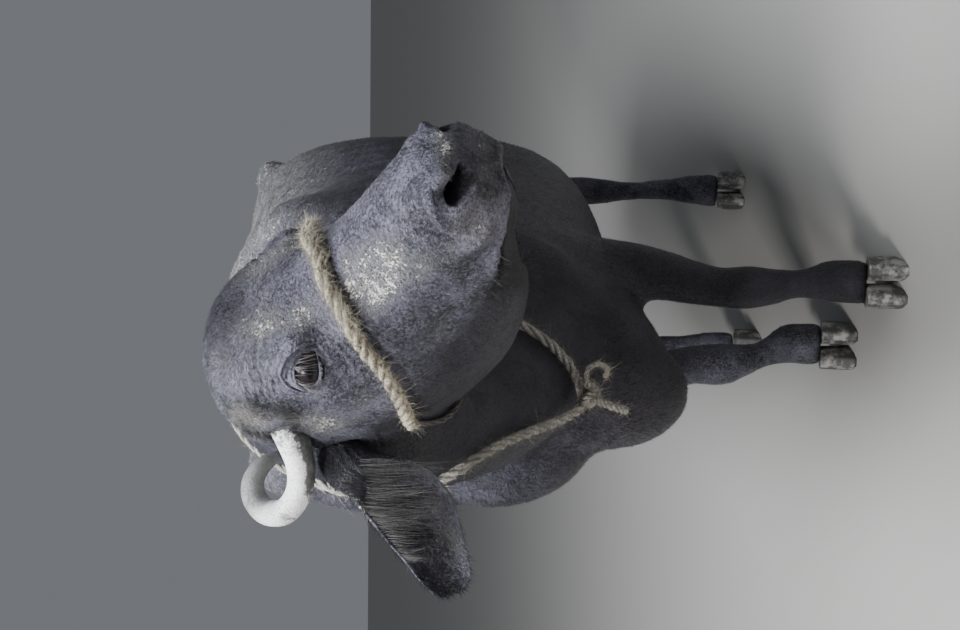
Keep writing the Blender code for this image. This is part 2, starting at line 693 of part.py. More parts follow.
def mouth_line():
    """A wedge swept round the muzzle, which leaves the line of the mouth when cut away."""
    half = [
        (0.372, 0.074, -0.166), (0.400, 0.074, -0.154), (0.430, 0.075, -0.143), (0.456, 0.072, -0.133),
        (0.476, 0.060, -0.125), (0.489, 0.042, -0.119), (0.496, 0.021, -0.116), (0.498, 0.000, -0.115),
    ]
    path = [Vector(p) for p in half] + [Vector((x, -y, z)) for x, y, z in half[-2::-1]]
    bm = bmesh.new()
    rings = []
    for n, point in enumerate(path):
        ahead = path[min(n + 1, len(path) - 1)] - path[max(n - 1, 0)]
        out = Vector((0, 0, 1)).cross(ahead).normalized()
        if out.dot(point - Vector((0.36, 0, -0.14))) < 0:
            out = -out
        shallow = 0.35 if n in (0, len(path) - 1) else 1.0
        inner = point - out * (0.008 + 0.012 * shallow)
        corners = (point + out * 0.010 + Vector((0, 0, 0.0048)), point + out * 0.010 - Vector((0, 0, 0.0048)))
        rings.append([bm.verts.new(corners[0]), bm.verts.new(corners[1]),
                      bm.verts.new(inner - Vector((0, 0, 0.0006))), bm.verts.new(inner + Vector((0, 0, 0.0006)))])
    for one, two in zip(rings, rings[1:]):
        for n in range(4):
            m = (n + 1) % 4
            bm.faces.new((one[n], one[m], two[m], two[n]))
    bm.faces.new(rings[0][::-1])
    bm.faces.new(rings[-1])
    bmesh.ops.recalc_face_normals(bm, faces=bm.faces)
    bmesh.ops.triangulate(bm, faces=bm.faces)
    made = new_object("mouth_line", bm)
    made.data.transform(head_matrix())
    return made


def mould(obj, bumps):
    """Raises or sinks soft patches of the head: centre, radii, height, on both sides."""
    place = head_matrix()
    back = place.inverted()
    size = len(obj.data.vertices)
    co = np.empty(size * 3)
    obj.data.vertices.foreach_get("co", co)
    co = co.reshape(-1, 3)
    normal = np.empty(size * 3)
    obj.data.vertices.foreach_get("normal", normal)
    normal = normal.reshape(-1, 3)
    local = co @ np.array(back.to_3x3()).T + np.array(back.translation)
    push = np.zeros(size)
    for centre, radii, height in bumps:
        for side in (1, -1):
            if side < 0 and abs(centre[1]) < 1e-6:
                continue
            away = (local - np.array(centre) * (1, side, 1)) / np.array(radii)
            push += height * np.exp(-1.6 * (away**2).sum(axis=1))
    co += normal * push[:, None]
    obj.data.vertices.foreach_set("co", co.ravel())
    obj.data.update()


def head_bumps():
    return [
        ((0.112, 0.095, -0.002), (0.030, 0.030, 0.030), -0.004),
        ((0.165, 0.095, 0.000), (0.036, 0.020, 0.012), 0.004),
        ((0.170, 0.100, -0.072), (0.036, 0.025, 0.012), -0.003),
        ((0.225, 0.070, -0.015), (0.030, 0.030, 0.030), -0.006),
        ((0.265, 0.075, -0.095), (0.070, 0.030, 0.016), 0.005),
        ((0.300, 0.060, -0.045), (0.060, 0.030, 0.025), -0.004),
        ((0.150, 0.080, -0.190), (0.065, 0.040, 0.070), 0.007),
        ((0.245, 0.070, -0.190), (0.030, 0.040, 0.050), -0.006),
        ((0.466, 0.066, -0.030), (0.030, 0.020, 0.012), 0.005),
        ((0.445, 0.070, -0.062), (0.012, 0.020, 0.030), 0.004),
        ((0.425, 0.070, -0.070), (0.010, 0.020, 0.030), -0.003),
        ((0.440, 0.065, -0.112), (0.050, 0.030, 0.016), 0.006),
        ((0.496, 0.000, -0.060), (0.020, 0.012, 0.045), -0.003),
        ((0.455, 0.000, -0.160), (0.030, 0.050, 0.020), 0.003),
        ((0.395, 0.060, -0.130), (0.020, 0.030, 0.030), -0.004),
        ((0.075, 0.000, 0.050), (0.060, 0.060, 0.030), 0.004),
    ]


def rope_path(points, radius, flesh, pull=0.35, rounds=60):
    """Settles a rope on the flesh, with its points evenly spaced along it."""
    rows = np.array([(*p, 0.0) for p in points], float)
    rows = np.vstack([rows, rows[:1]])
    count = (len(rows) - 1) * 3
    path = [Vector(path_row(rows, k / 3, True)[:3]) for k in range(count)]
    settle(path, radius + 0.0028, flesh, pull, rounds)
    path = evenly(path, 3 * radius)
    settle(path, radius + 0.0048, flesh, 0.0, 8)
    return path


def settle(path, clear, flesh, pull, rounds):
    """Draws every point tight along the rope, and pushes it and the span after it clear of the skin."""
    count = len(path)
    for _ in range(rounds):
        for n in range(count):
            m = (n + 1) % count
            path[n] = path[n].lerp((path[n - 1] + path[m]) / 2, pull)
            path[n] += push_out(path[n], clear, flesh)
            shove = push_out((path[n] + path[m]) / 2, clear, flesh)
            path[n] += shove / 2
            path[m] += shove / 2


def push_out(point, clear, flesh):
    near, normal, _, distance = flesh.find_nearest(point)
    if (point - near).dot(normal) < 0 or distance < clear:
        return near + normal * clear - point
    return Vector()


def evenly(path, spacing):
    """The same closed path with its points an equal distance apart."""
    path = path + path[:1]
    reach = np.cumsum([0.0] + [(b - a).length for a, b in zip(path, path[1:])])
    count = int(reach[-1] / spacing)
    places = np.linspace(0, reach[-1], count + 1)[:-1]
    columns = [np.interp(places, reach, [point[k] for point in path]) for k in range(3)]
    return [Vector(point) for point in zip(*columns)]


def flesh_tree(objects):
    verts = []
    faces = []
    for obj in objects:
        start = len(verts)
        verts += [vert.co.copy() for vert in obj.data.vertices]
        faces += [[start + v for v in poly.vertices] for poly in obj.data.polygons]
    return BVHTree.FromPolygons(verts, faces)


def noseband(flesh):
    """A thick rope over the bridge and down both cheeks, with a thin cord from end to end behind the jaw."""
    half = [
        (0.288, 0.000, 0.020), (0.284, 0.054, 0.004), (0.262, 0.092, -0.041), (0.207, 0.112, -0.112),
        (0.146, 0.110, -0.176), (0.100, 0.095, -0.235), (0.085, 0.055, -0.300), (0.080, 0.000, -0.325),
    ]
    loop = half + [(x, -y, z) for x, y, z in half[-2:0:-1]]
    place = head_matrix()
    path = rope_path([place @ Vector(p) for p in loop], 0.0105, flesh)
    heights = [(place.inverted() @ point).z for point in path]
    radii = [0.0105 if height > -0.195 else 0.0050 for height in heights]
    return tube("rope_noseband", path, radii, sides=8, steps=1, closed=True)


def collar(flesh):
    """A thinner rope round the neck that hangs in a V to a knot below the throat."""
    points = [
        (-0.073, -0.800, 0.655), (-0.083, -0.930, 0.790), (-0.105, -1.020, 0.890), (-0.150, -0.960, 1.000),
        (-0.140, -0.850, 1.100), (-0.040, -0.780, 1.180), (0.060, -0.760, 1.120), (0.100, -0.760, 1.000),
        (0.085, -0.810, 0.880), (0.028, -0.810, 0.775),
    ]
    path = rope_path(points, 0.0085, flesh, pull=0.12, rounds=25)
    rope = tube("rope", path, [0.0085] * len(path), sides=7, steps=1, closed=True)
    low = min(path, key=lambda p: p.z)
    front = Vector((-0.05, -0.75, -0.45)).normalized()
    knot = low + front * 0.0078
    lump = thin_out(ball("lump", knot, (0.0205, 0.0170, 0.0230), (20, 10, 5)), 80)
    drop = Vector((-0.017, -0.006, -0.030))
    long_end = [knot + drop * 0.2, knot + drop, knot + drop * 1.9]
    short_end = [knot - drop * 0.1, knot + Vector((0.013, -0.012, -0.030)), knot + Vector((0.019, -0.012, -0.050))]
    ends = [
        tube("end", long_end, [0.0088, 0.0092, 0.0060], sides=6, steps=1),
        tube("end", short_end, [0.0070, 0.0066, 0.0045], sides=6, steps=1),
    ]
    return unite("rope_collar", rope, [lump] + ends)


def main():
    clear_scene()
    skull = fuse(join("skull", head()), 0.005, 6)
    skull.data.transform(head_matrix())
    legs = [
        foreleg("fore_left", FORE_LEFT, 0.068, 1), foreleg("fore_right", FORE_RIGHT, -0.108, -1),
        hind_leg("hind_left", HIND_LEFT, 1), hind_leg("hind_right", HIND_RIGHT, -1),
    ]
    throat = neck()
    front = fuse(join("front", [skull, copy_of(throat, "throat_copy")]), 0.0042, 3)
    rough = copy_of(front, "rough")
    body = fuse(join("body", torso() + [throat] + legs), 0.010, 14)
    body = fuse(join("body", [body, rough]), 0.0075, 2)
    mould(front, head_bumps())
    head_node = thin_out(front, 3750)
    body = thin_out(body, 4800)

    nape = head_matrix() @ Vector((-0.02, 0, -0.17))
    toward_head = (head_matrix().to_3x3() @ Vector((0.77, 0, 0.63))).normalized()
    slice_off(head_node, nape, -toward_head)
    slice_off(body, nape, toward_head)
    head_node.name = "head"

    limbs = part_limbs(body)
    neck_node = copy_of(body, "neck")
    shoulder = Vector((-0.03, -0.66, 0.95))
    forward = Vector((0.0, -0.96, 0.28)).normalized()
    slice_off(neck_node, shoulder, -forward)
    slice_off(body, shoulder, forward)
    body = unite("torso", body, teats())

    ears = []
    for side, word in ((1, "left"), (-1, "right")):
        ball_node = eye("eye_" + word, side)
        boolean(head_node, lid_opening(side), "DIFFERENCE")
        pocket(head_node, ball_node)
        horn_node = horn("horn_" + word, side)
        pocket(head_node, horn_node)
        ear_node = ear("ear_" + word, side)
        pocket(head_node, ear_node)
        pocket(neck_node, ear_node)
        ears.append(ear_node)
        boolean(head_node, nostril(side), "DIFFERENCE")
    boolean(head_node, mouth_line(), "DIFFERENCE")

    pocket(body, tail())
    flesh = flesh_tree([head_node, neck_node, body] + ears)
    noseband(flesh)
    collar(flesh)
    finish()


def teats():
    made = []
    for x, y in [(0.042, 0.50), (-0.042, 0.50), (0.040, 0.60), (-0.040, 0.60)]:
        path = [(x, y, 0.57), (x * 1.1, y, 0.515), (x * 1.15, y, 0.482)]
        made.append(tube("teat", path, [0.014, 0.012, 0.008], sides=7, steps=1))
    return made


def part_limbs(body):
    """Parts each leg from the trunk, and its foot from the claws."""
    limbs = []
    plan = [
        ("leg_front_left", FORE_LEFT, (0.015, -0.54, -0.1), (0.205, -0.25, 0.565), 0.0, -0.02),
        ("leg_front_right", FORE_RIGHT, (-0.225, -0.50, -0.1), (-0.010, -0.09, 0.565), 0.0, -0.18),
        ("leg_hind_left", HIND_LEFT, (0.095, 0.38, -0.1), (0.45, 0.98, 0.640), 0.10, 0.0),
        ("leg_hind_right", HIND_RIGHT, (-0.45, 0.20, -0.1), (-0.080, 0.98, 0.640), 0.31, 0.0),
    ]
    for name, foot, low, high, lean, back in plan:
        leg = copy_of(body, name)
        boolean(leg, block("block", low, high, lean, back), "INTERSECT")
        boolean(body, block("block", low, high, lean, back, GAP), "DIFFERENCE")
        fx, fy = foot
        slice_off(leg, (fx, fy - 0.055, 0.066), (0, -0.34, -1))
        for side, word in ((1, "left"), (-1, "right")):
            claw(name.replace("leg", "claw") + "_" + word, foot, side)
            spur = dewclaw(name.replace("leg", "dewclaw") + "_" + word, foot, side)
            pocket(leg, spur)
        limbs.append(leg)
    return limbs


def finish():
    """Gives every node its own material, and stands the animal over the origin."""
    looks = {
        "horn": ((0.55, 0.54, 0.50), 0.6), "claw": ((0.16, 0.15, 0.14), 0.6),
        "dewclaw": ((0.12, 0.11, 0.11), 0.6),
        "eye": ((0.02, 0.015, 0.012), 0.1), "rope": ((0.45, 0.38, 0.28), 0.9),
        "tail_switch": ((0.03, 0.03, 0.032), 0.8),
    }
    nodes = [obj for obj in bpy.context.scene.objects if obj.type == "MESH"]
    points = [vert.co for obj in nodes for vert in obj.data.vertices]
    low = [min(p[k] for p in points) for k in range(3)]
    high = [max(p[k] for p in points) for k in range(3)]
    shift = Vector((-(low[0] + high[0]) / 2, -(low[1] + high[1]) / 2, -low[2]))
    for obj in nodes:
        obj.data.transform(Matrix.Translation(shift))
        colour, rough = (0.05, 0.05, 0.055), 0.6
        for word, look in looks.items():
            if obj.name.startswith(word):
                colour, rough = look
        obj.data.materials.clear()
        obj.data.materials.append(material(obj.name + "_material", colour, rough))


main()
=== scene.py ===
import math

import bmesh
import bpy
import numpy as np
from mathutils import Matrix, Vector
from mathutils.bvhtree import BVHTree


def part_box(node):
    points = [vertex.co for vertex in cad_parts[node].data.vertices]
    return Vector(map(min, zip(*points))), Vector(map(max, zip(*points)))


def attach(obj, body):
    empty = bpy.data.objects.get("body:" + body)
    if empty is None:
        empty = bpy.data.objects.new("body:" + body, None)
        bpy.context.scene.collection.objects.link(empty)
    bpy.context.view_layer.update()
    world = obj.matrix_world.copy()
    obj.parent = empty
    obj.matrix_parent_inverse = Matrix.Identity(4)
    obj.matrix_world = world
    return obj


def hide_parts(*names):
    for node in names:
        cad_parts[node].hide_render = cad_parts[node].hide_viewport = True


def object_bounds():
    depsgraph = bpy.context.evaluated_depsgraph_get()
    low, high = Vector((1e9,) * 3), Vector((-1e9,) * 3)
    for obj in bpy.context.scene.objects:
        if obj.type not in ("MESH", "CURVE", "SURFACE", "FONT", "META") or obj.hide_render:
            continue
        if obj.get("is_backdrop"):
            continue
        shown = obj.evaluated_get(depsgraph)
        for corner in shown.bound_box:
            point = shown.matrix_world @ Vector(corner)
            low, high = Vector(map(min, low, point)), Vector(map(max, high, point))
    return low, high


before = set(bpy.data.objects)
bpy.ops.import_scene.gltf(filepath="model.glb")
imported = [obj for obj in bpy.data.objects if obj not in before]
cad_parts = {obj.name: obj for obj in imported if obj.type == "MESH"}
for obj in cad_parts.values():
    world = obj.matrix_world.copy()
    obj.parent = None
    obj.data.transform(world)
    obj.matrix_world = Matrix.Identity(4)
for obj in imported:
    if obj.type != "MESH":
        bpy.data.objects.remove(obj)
cad_low, cad_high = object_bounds()

# The camera stands a step and a half from her right eye, a hand's breadth below the brow.
# It is held on its side, so the ground lies to the right of the picture.
EYE_IN_HEAD = (0.162, 0.0865, -0.037)
eye_low, eye_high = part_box("eye_right")
right_eye = (Vector(eye_low) + Vector(eye_high)) / 2
azimuth, pitch = math.radians(8), math.radians(6.93)
ahead = Vector((-math.sin(azimuth) * math.cos(pitch), math.cos(azimuth) * math.cos(pitch), -math.sin(pitch)))
across = ahead.cross(Vector((0, 0, 1))).normalized()
above = across.cross(ahead)
camera_data = bpy.data.cameras.new("camera")
camera_data.lens = 46.875
camera_data.sensor_width = 36
camera = bpy.data.objects.new("camera", camera_data)
bpy.context.scene.collection.objects.link(camera)
turned = Matrix((-above, across, -ahead)).transposed().to_4x4()
camera.matrix_world = Matrix.Translation(right_eye + Vector((0.2603, -1.4418, -0.0232))) @ turned
bpy.context.scene.camera = camera


# A pale studio floor and an even pale surround, lit from above by one wide soft light.
# A second soft light on her right picks out the horn, the brow and the bridge of the nose.
def new_object(name, bm, smooth=True):
    mesh = bpy.data.meshes.new(name)
    bm.to_mesh(mesh)
    bm.free()
    for polygon in mesh.polygons:
        polygon.use_smooth = smooth
    obj = bpy.data.objects.new(name, mesh)
    bpy.context.scene.collection.objects.link(obj)
    return obj


def new_material(name, colour, roughness):
    made = bpy.data.materials.new(name)
    made.use_nodes = True
    shader = made.node_tree.nodes["Principled BSDF"]
    shader.inputs["Base Color"].default_value = (*colour, 1)
    shader.inputs["Roughness"].default_value = roughness
    return made


bm = bmesh.new()
bmesh.ops.create_grid(bm, x_segments=1, y_segments=1, size=30)
floor = new_object("floor", bm, smooth=False)
floor.data.materials.append(new_material("pale_floor", (0.36, 0.35, 0.335), 0.9))
floor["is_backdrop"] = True

world = bpy.data.worlds.new("surround")
world.use_nodes = True
world.node_tree.nodes["Background"].inputs["Color"].default_value = (0.84, 0.89, 0.96, 1)
world.node_tree.nodes["Background"].inputs["Strength"].default_value = 0.20
bpy.context.scene.world = world


def soft_light(name, place, aim, size, power, colour):
    data = bpy.data.lights.new(name, "AREA")
    data.size = size
    data.energy = power
    data.color = colour
    light = bpy.data.objects.new(name, data)
    light.location = place
    light.rotation_euler = (Vector(aim) - Vector(place)).to_track_quat("-Z", "Y").to_euler()
    bpy.context.scene.collection.objects.link(light)


soft_light("top_light", (-0.3, -1.5, 3.4), (0, -0.7, 0.9), 1.5, 260, (0.93, 0.96, 1.0))
soft_light("side_light", (-1.9, -3.2, 2.9), (0, -1.0, 1.0), 0.8, 125, (1.0, 0.99, 0.97))


# One hide covers head, neck, trunk, legs and dock, drawn tight over the flesh.
# It is finest over the head and neck, and the two grades are stitched together behind the neck rope.
HEAD_YAW, HEAD_PITCH, HEAD_ROLL, HEAD_SCALE = math.radians(46), math.radians(28), math.radians(2), 0.95
forward = Vector((math.sin(HEAD_YAW) * math.cos(HEAD_PITCH), -math.cos(HEAD_YAW) * math.cos(HEAD_PITCH), -math.sin(HEAD_PITCH)))
leftward = Vector((math.cos(HEAD_YAW), math.sin(HEAD_YAW), 0))
upward = forward.cross(leftward)
leftward, upward = (
    leftward * math.cos(HEAD_ROLL) + upward * math.sin(HEAD_ROLL),
    upward * math.cos(HEAD_ROLL) - leftward * math.sin(HEAD_ROLL),
)
head_turn = Matrix((forward, leftward, upward)).transposed() * HEAD_SCALE
right_eye_in_head = Vector(EYE_IN_HEAD) * Vector((1, -1, 1))
HEAD = Matrix.Translation(right_eye - head_turn @ right_eye_in_head) @ head_turn.to_4x4()
BODY = HEAD @ Vector((0, 0, 0)) - Vector((0.045, -1.105, 1.199))
rng = np.random.default_rng(11)


def to_head(points):
    back = HEAD.inverted()
    return points @ np.array(back.to_3x3()).T + np.array(back.translation)


def flesh(names, grow=0.0004):
    """A copy of the named solids, each grown by a hair so that they overlap where they meet."""
    joined = bmesh.new()
    for name in names:
        bm = bmesh.new()
        bm.from_mesh(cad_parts[name].data)
        bmesh.ops.remove_doubles(bm, verts=bm.verts, dist=1e-5)
        bm.normal_update()
        for vert in bm.verts:
            vert.co += vert.normal * grow
        part = bpy.data.meshes.new("part")
        bm.to_mesh(part)
        joined.from_mesh(part)
        bm.free()
    return joined


def drawn_over(bm, voxel, passes):
    """One closed skin over everything in bm."""
    obj = new_object("drawn", bm)
    remesh = obj.modifiers.new("remesh", "REMESH")
    remesh.mode = "VOXEL"
    remesh.voxel_size = voxel
    soften = obj.modifiers.new("soften", "SMOOTH")
    soften.factor = 0.5
    soften.iterations = passes
    mesh = bpy.data.meshes.new_from_object(obj.evaluated_get(bpy.context.evaluated_depsgraph_get()))
    bpy.data.objects.remove(obj, do_unlink=True)
    bm = bmesh.new()
    bm.from_mesh(mesh)
    return bm


def cut_open(bm, place, facing):
    """Keeps the side away from facing and leaves the cut open."""
    geometry = bm.verts[:] + bm.edges[:] + bm.faces[:]
    bmesh.ops.bisect_plane(bm, geom=geometry, plane_co=place, plane_no=facing, clear_outer=True)


def drop_scraps(bm):
    """Keeps only the biggest closed surface."""
    left = set(bm.verts)
    islands = []
    while left:
        stack = [left.pop()]
        island = list(stack)
        while stack:
            for edge in stack.pop().link_edges:
                for vert in edge.verts:
                    if vert in left:
                        left.discard(vert)
                        stack.append(vert)
                        island.append(vert)
        islands.append(island)
    islands.sort(key=len)
    for island in islands[:-1]:
        bmesh.ops.delete(bm, geom=island, context="VERTS")


front = flesh(["head", "neck"])
for side in (-1, 1):
    root = bmesh.ops.create_icosphere(front, subdivisions=3, radius=0.034)["verts"]
    bmesh.ops.translate(front, verts=root, vec=HEAD @ Vector((0.018, side * 0.072, -0.140)))
front = drawn_over(front, 0.0060, 3)
drop_scraps(front)
stitch = BODY + Vector((-0.03, -0.80, 0.93))
backward = Vector((0, 0.98, -0.2)).normalized()
cut_open(front, stitch, backward)

trunk = flesh(["torso", "neck", "leg_front_left", "leg_front_right", "leg_hind_left", "leg_hind_right", "tail"])
trunk = drawn_over(trunk, 0.0150, 3)
drop_scraps(trunk)
cut_open(trunk, stitch + backward * 0.008, -backward)
front_mesh = bpy.data.meshes.new("front")
front.to_mesh(front_mesh)
trunk.from_mesh(front_mesh)
front.free()
rims = [edge for edge in trunk.edges if edge.is_boundary]
bmesh.ops.bridge_loops(trunk, edges=rims)
near = [vert for vert in trunk.verts if abs((vert.co - stitch).dot(backward)) < 0.03 and vert.co.z > 0.5]
for _ in range(6):
    bmesh.ops.smooth_vert(trunk, verts=near, factor=0.5, use_axis_x=True, use_axis_y=True, use_axis_z=True)


def finer(bm, wanted, passes):
    """Halves the mesh size where wanted says so, and smooths the new points in."""
    chosen = {vert for vert in bm.verts if wanted(to_head_vector @ vert.co)}
    edges = [edge for edge in bm.edges if edge.verts[0] in chosen and edge.verts[1] in chosen]
    bmesh.ops.subdivide_edges(bm, edges=edges, cuts=1, use_grid_fill=True)
    near = [vert for vert in bm.verts if wanted(to_head_vector @ vert.co)]
    for _ in range(passes):
        bmesh.ops.smooth_vert(bm, verts=near, factor=0.5, use_axis_x=True, use_axis_y=True, use_axis_z=True)


to_head_vector = HEAD.inverted()
finer(trunk, lambda p: p.x > -0.03 - 0.25 * abs(p.y) and p.z > -0.30, 2)
finer(trunk, lambda p: p.x > 0.425 and p.z > -0.155 and p.z < 0.01, 2)
bmesh.ops.triangulate(trunk, faces=[face for face in trunk.faces if len(face.verts) > 4])
skin = new_object("skin", trunk)
print("skin", len(skin.data.vertices), len(skin.data.polygons), sum(len(f.vertices) - 2 for f in skin.data.polygons))


def read_points(obj, what="co"):
    values = np.empty(len(obj.data.vertices) * 3)
    obj.data.vertices.foreach_get(what, values)
    return values.reshape(-1, 3)


def write_points(obj, points):
    obj.data.vertices.foreach_set("co", points.ravel())
    obj.data.update()


def smooth_step(values, low, high):
    share = np.clip((values - low) / (high - low), 0, 1)
    return share * share * (3 - 2 * share)


def swell(points, centre, radii, height):
    """A soft swelling or hollow, the same on both sides of the head."""
    away = (np.abs(points) * np.array([0, 1, 0]) + points * np.array([1, 0, 1]) - np.array(centre)) / np.array(radii)
    return height * np.exp(-1.6 * (away**2).sum(axis=1))


def path_distance(points, path):
    """How far each point is from a path given for the left side, on either side of the head."""
    mirrored = np.column_stack([points[:, 0], np.abs(points[:, 1]), points[:, 2]])
    nearest = np.full(len(points), 9.0)
    for start, end in zip(path, path[1:]):
        start, end = np.array(start), np.array(end)
        span = end - start
        share = np.clip(((mirrored - start) @ span) / (span @ span), 0, 1)
        nearest = np.minimum(nearest, np.linalg.norm(mirrored - start - share[:, None] * span, axis=1))
    return nearest


def furrow(points, path, width, depth):
    """A crease with a soft ridge along each side."""
    away = path_distance(points, path) / width
    return -depth * np.exp(-(away**2)) + 0.35 * depth * np.exp(-((away - 2.1) ** 2))


points = read_points(skin)
normals = read_points(skin, "normal")
in_head = to_head(points)
sided = np.column_stack([in_head[:, 0], np.abs(in_head[:, 1]), in_head[:, 2]])
on_head = smooth_step(in_head[:, 0], -0.06, 0.0)
NOSTRIL_PLACE = np.array((0.4815, 0.0430, -0.0585))
NOSTRIL_OUT = np.array((0.896, 0.444, 0.0))
NOSTRIL_ALONG = np.array((0.444, -0.896, 0.0))
NOSTRIL = [(-0.0150, 0.0035, 0.0086), (-0.0060, 0.0000, 0.0090), (0.0040, -0.0020, 0.0090), (0.0120, -0.0018, 0.0082), (0.0185, -0.0005, 0.0060)]
FAR_SHIFT = np.array((0.0150, -0.0200, -0.0040))
MOUTH = [
    (0, -0.1180), (9, -0.1190), (21, -0.1240), (34, -0.1330), (50, -0.1460), (81, -0.1640), (111, -0.1780), (130, -0.1880),
]


def nostril_share(head):
    """0 in the middle of a nostril and 1 at its edge, seen square on."""
    aside = np.column_stack([head[:, 0], np.abs(head[:, 1]), head[:, 2]]) - NOSTRIL_PLACE
    aside = aside + np.outer(head[:, 1] > 0, FAR_SHIFT)
    flat = np.column_stack([aside @ NOSTRIL_ALONG, aside[:, 2]])
    nearest = np.full(len(head), 9.0)
    for start, end in zip(NOSTRIL, NOSTRIL[1:]):
        one, two = np.array(start[:2]), np.array(end[:2])
        span = two - one
        share = np.clip(((flat - one) @ span) / (span @ span), 0, 1)
        radius = start[2] + (end[2] - start[2]) * share
        nearest = np.minimum(nearest, np.linalg.norm(flat - one - share[:, None] * span, axis=1) / radius)
    nearest += 0.50 * np.exp(-(((flat[:, 0] + 0.0040) / 0.0042) ** 2)) * smooth_step(flat[:, 1], 0.001, 0.006)
    return np.where(np.abs(aside @ NOSTRIL_OUT) < 0.035, nearest, 9.0)


def above_lips(head):
    """How far above the line of the mouth each point is."""
    turn = np.degrees(np.arctan2(np.abs(head[:, 1]), head[:, 0] - 0.40))
    wander = 0.0012 * np.sin(turn * 0.21) + 0.0008 * np.sin(turn * 0.47 + 1)
    return head[:, 2] - np.interp(turn, [p[0] for p in MOUTH], [p[1] for p in MOUTH]) - wander


rise = np.full(len(points), -0.0010)
rise += swell(in_head, (0.118, 0.098, -0.060), (0.030, 0.030, 0.028), -0.003)
rise += swell(in_head, (0.066, 0.115, -0.060), (0.020, 0.020, 0.018), -0.005)
# the fold round the nostril wing, the tear groove, the cheek's lower edge and the temple's hollow
WING = [(0.4657, 0.0607, -0.0274), (0.4430, 0.0689, -0.0483), (0.4359, 0.0690, -0.0711), (0.4430, 0.0689, -0.0929), (0.4560, 0.066, -0.108)]
behind = [(x - 0.0145, y, z + 0.002) for x, y, z in WING]
rise += 0.0052 * np.exp(-((path_distance(in_head, WING) / 0.0068) ** 2))
rise -= 0.0034 * np.exp(-((path_distance(in_head, behind) / 0.0060) ** 2))
rise += swell(in_head, (0.4790, 0.0430, -0.0600), (0.014, 0.018, 0.016), 0.0060) * (in_head[:, 1] > 0)
rise += swell(in_head, (0.4600, 0.0720, -0.0690), (0.018, 0.022, 0.024), 0.0030)
rise += swell(in_head, (0.4800, 0.0400, -0.0390), (0.018, 0.024, 0.011), 0.0040) * (in_head[:, 1] < 0)
rise += swell(in_head, (0.4250, 0.0650, -0.0300), (0.024, 0.022, 0.020), -0.0028)
rise += furrow(in_head, [(0.205, 0.104, -0.026), (0.232, 0.094, -0.056), (0.250, 0.088, -0.085)], 0.006, 0.0016)
rise += furrow(in_head, [(0.330, 0.080, -0.160), (0.290, 0.090, -0.150), (0.240, 0.098, -0.165)], 0.012, 0.0030)
rise += swell(in_head, (0.255, 0.090, -0.120), (0.080, 0.030, 0.030), 0.0040)
rise += swell(in_head, (0.300, 0.080, -0.205), (0.050, 0.040, 0.030), -0.0035)
rise += swell(in_head, (0.340, 0.062, -0.050), (0.050, 0.020, 0.020), -0.0025)
eye_x, eye_z = sided[:, 0] - 0.162, (sided[:, 2] + 0.037) * 1.12
eye_turn = np.arctan2(eye_z, eye_x)
eye_apart = np.hypot(eye_x, eye_z) + 0.0040 * np.sin(eye_turn * 3.1 + 0.6) + 0.0015 * np.sin(eye_turn * 9)
beside = smooth_step(sided[:, 1], 0.045, 0.075)
arch = smooth_step(eye_turn, -0.35, 0.35) * (1 - smooth_step(eye_turn, 2.75, 3.1)) * beside
for reach, depth in ((0.0520, 0.0018), (0.0600, 0.0013), (0.0690, 0.0015), (0.0790, 0.0009), (0.0900, 0.0007)):
    away = (eye_apart - reach) / 0.0027
    rise += arch * depth * (0.4 * np.exp(-((np.abs(away) - 2.0) ** 2)) - np.exp(-(away**2)))
bag = (1 - smooth_step(eye_turn, -0.3, 0.1)) * smooth_step(eye_turn, -2.9, -2.5) * beside
for reach, depth in ((0.0500, 0.0012), (0.0585, 0.0009)):
    away = (eye_apart - reach) / 0.0028
    rise += bag * depth * (0.4 * np.exp(-((np.abs(away) - 2.0) ** 2)) - np.exp(-(away**2)))
for n in range(6):
    reach = 0.016 + 0.0085 * n
    arc = []
    for turn in (-80, -45, -10, 25, 60, 90):
        c, s = math.cos(math.radians(turn)), math.sin(math.radians(turn))
        arc.append((0.024 + reach * c, 0.108 - 0.02 * c, -0.140 + reach * s * 1.3))
    rise += furrow(in_head, arc, 0.0030, 0.0014)
for n in range(5):
    arc = [(0.452 - 0.008 * n, 0.074, -0.085 - 0.004 * n), (0.462 - 0.010 * n, 0.072, -0.108), (0.452 - 0.012 * n, 0.076, -0.130)]
    rise += furrow(in_head, arc, 0.0022, 0.0009)
moved = points + normals * (rise * (0.2 + 0.8 * on_head))[:, None]


def sink(points, amount, direction):
    """Moves points along a direction of the head's own frame, mirrored on the far side."""
    ways = np.column_stack([np.full(len(points), direction[0]), direction[1] * np.sign(in_head[:, 1]), np.full(len(points), direction[2])])
    return points + (ways @ np.array(HEAD.to_3x3()).T) * amount[:, None]


hole = nostril_share(in_head)
moved = sink(moved, np.exp(-((hole / 0.93) ** 4)) * np.where(in_head[:, 1] < 0, 0.017, 0.003), (-0.90, -0.40, 0.16))
far_corner = np.exp(-1.4 * (((in_head - (0.4750, 0.0500, -0.0250)) / (0.034, 0.034, 0.030)) ** 2).sum(axis=1))
moved = sink(moved, far_corner * 0.0120, (-0.50, -0.70, -0.50))
rim = np.exp(-(((hole - 1.35) / 0.35) ** 2)) * on_head
moved += normals * (rim * 0.0018 * (in_head[:, 1] < 0))[:, None]
near_mouth = smooth_step(in_head[:, 0], 0.335, 0.385)
lip = above_lips(in_head)
below = near_mouth * smooth_step(-lip, -0.001, 0.005)
moved = sink(moved, below * 0.0105, (-0.80, -0.45, 0.0))
moved = sink(moved, near_mouth * np.exp(-(((lip + 0.002) / 0.0042) ** 2)) * 0.0100, (-0.80, -0.60, 0.0))
moved += normals * (near_mouth * np.exp(-(((lip - 0.009) / 0.008) ** 2)) * 0.0026)[:, None]
write_points(skin, moved)


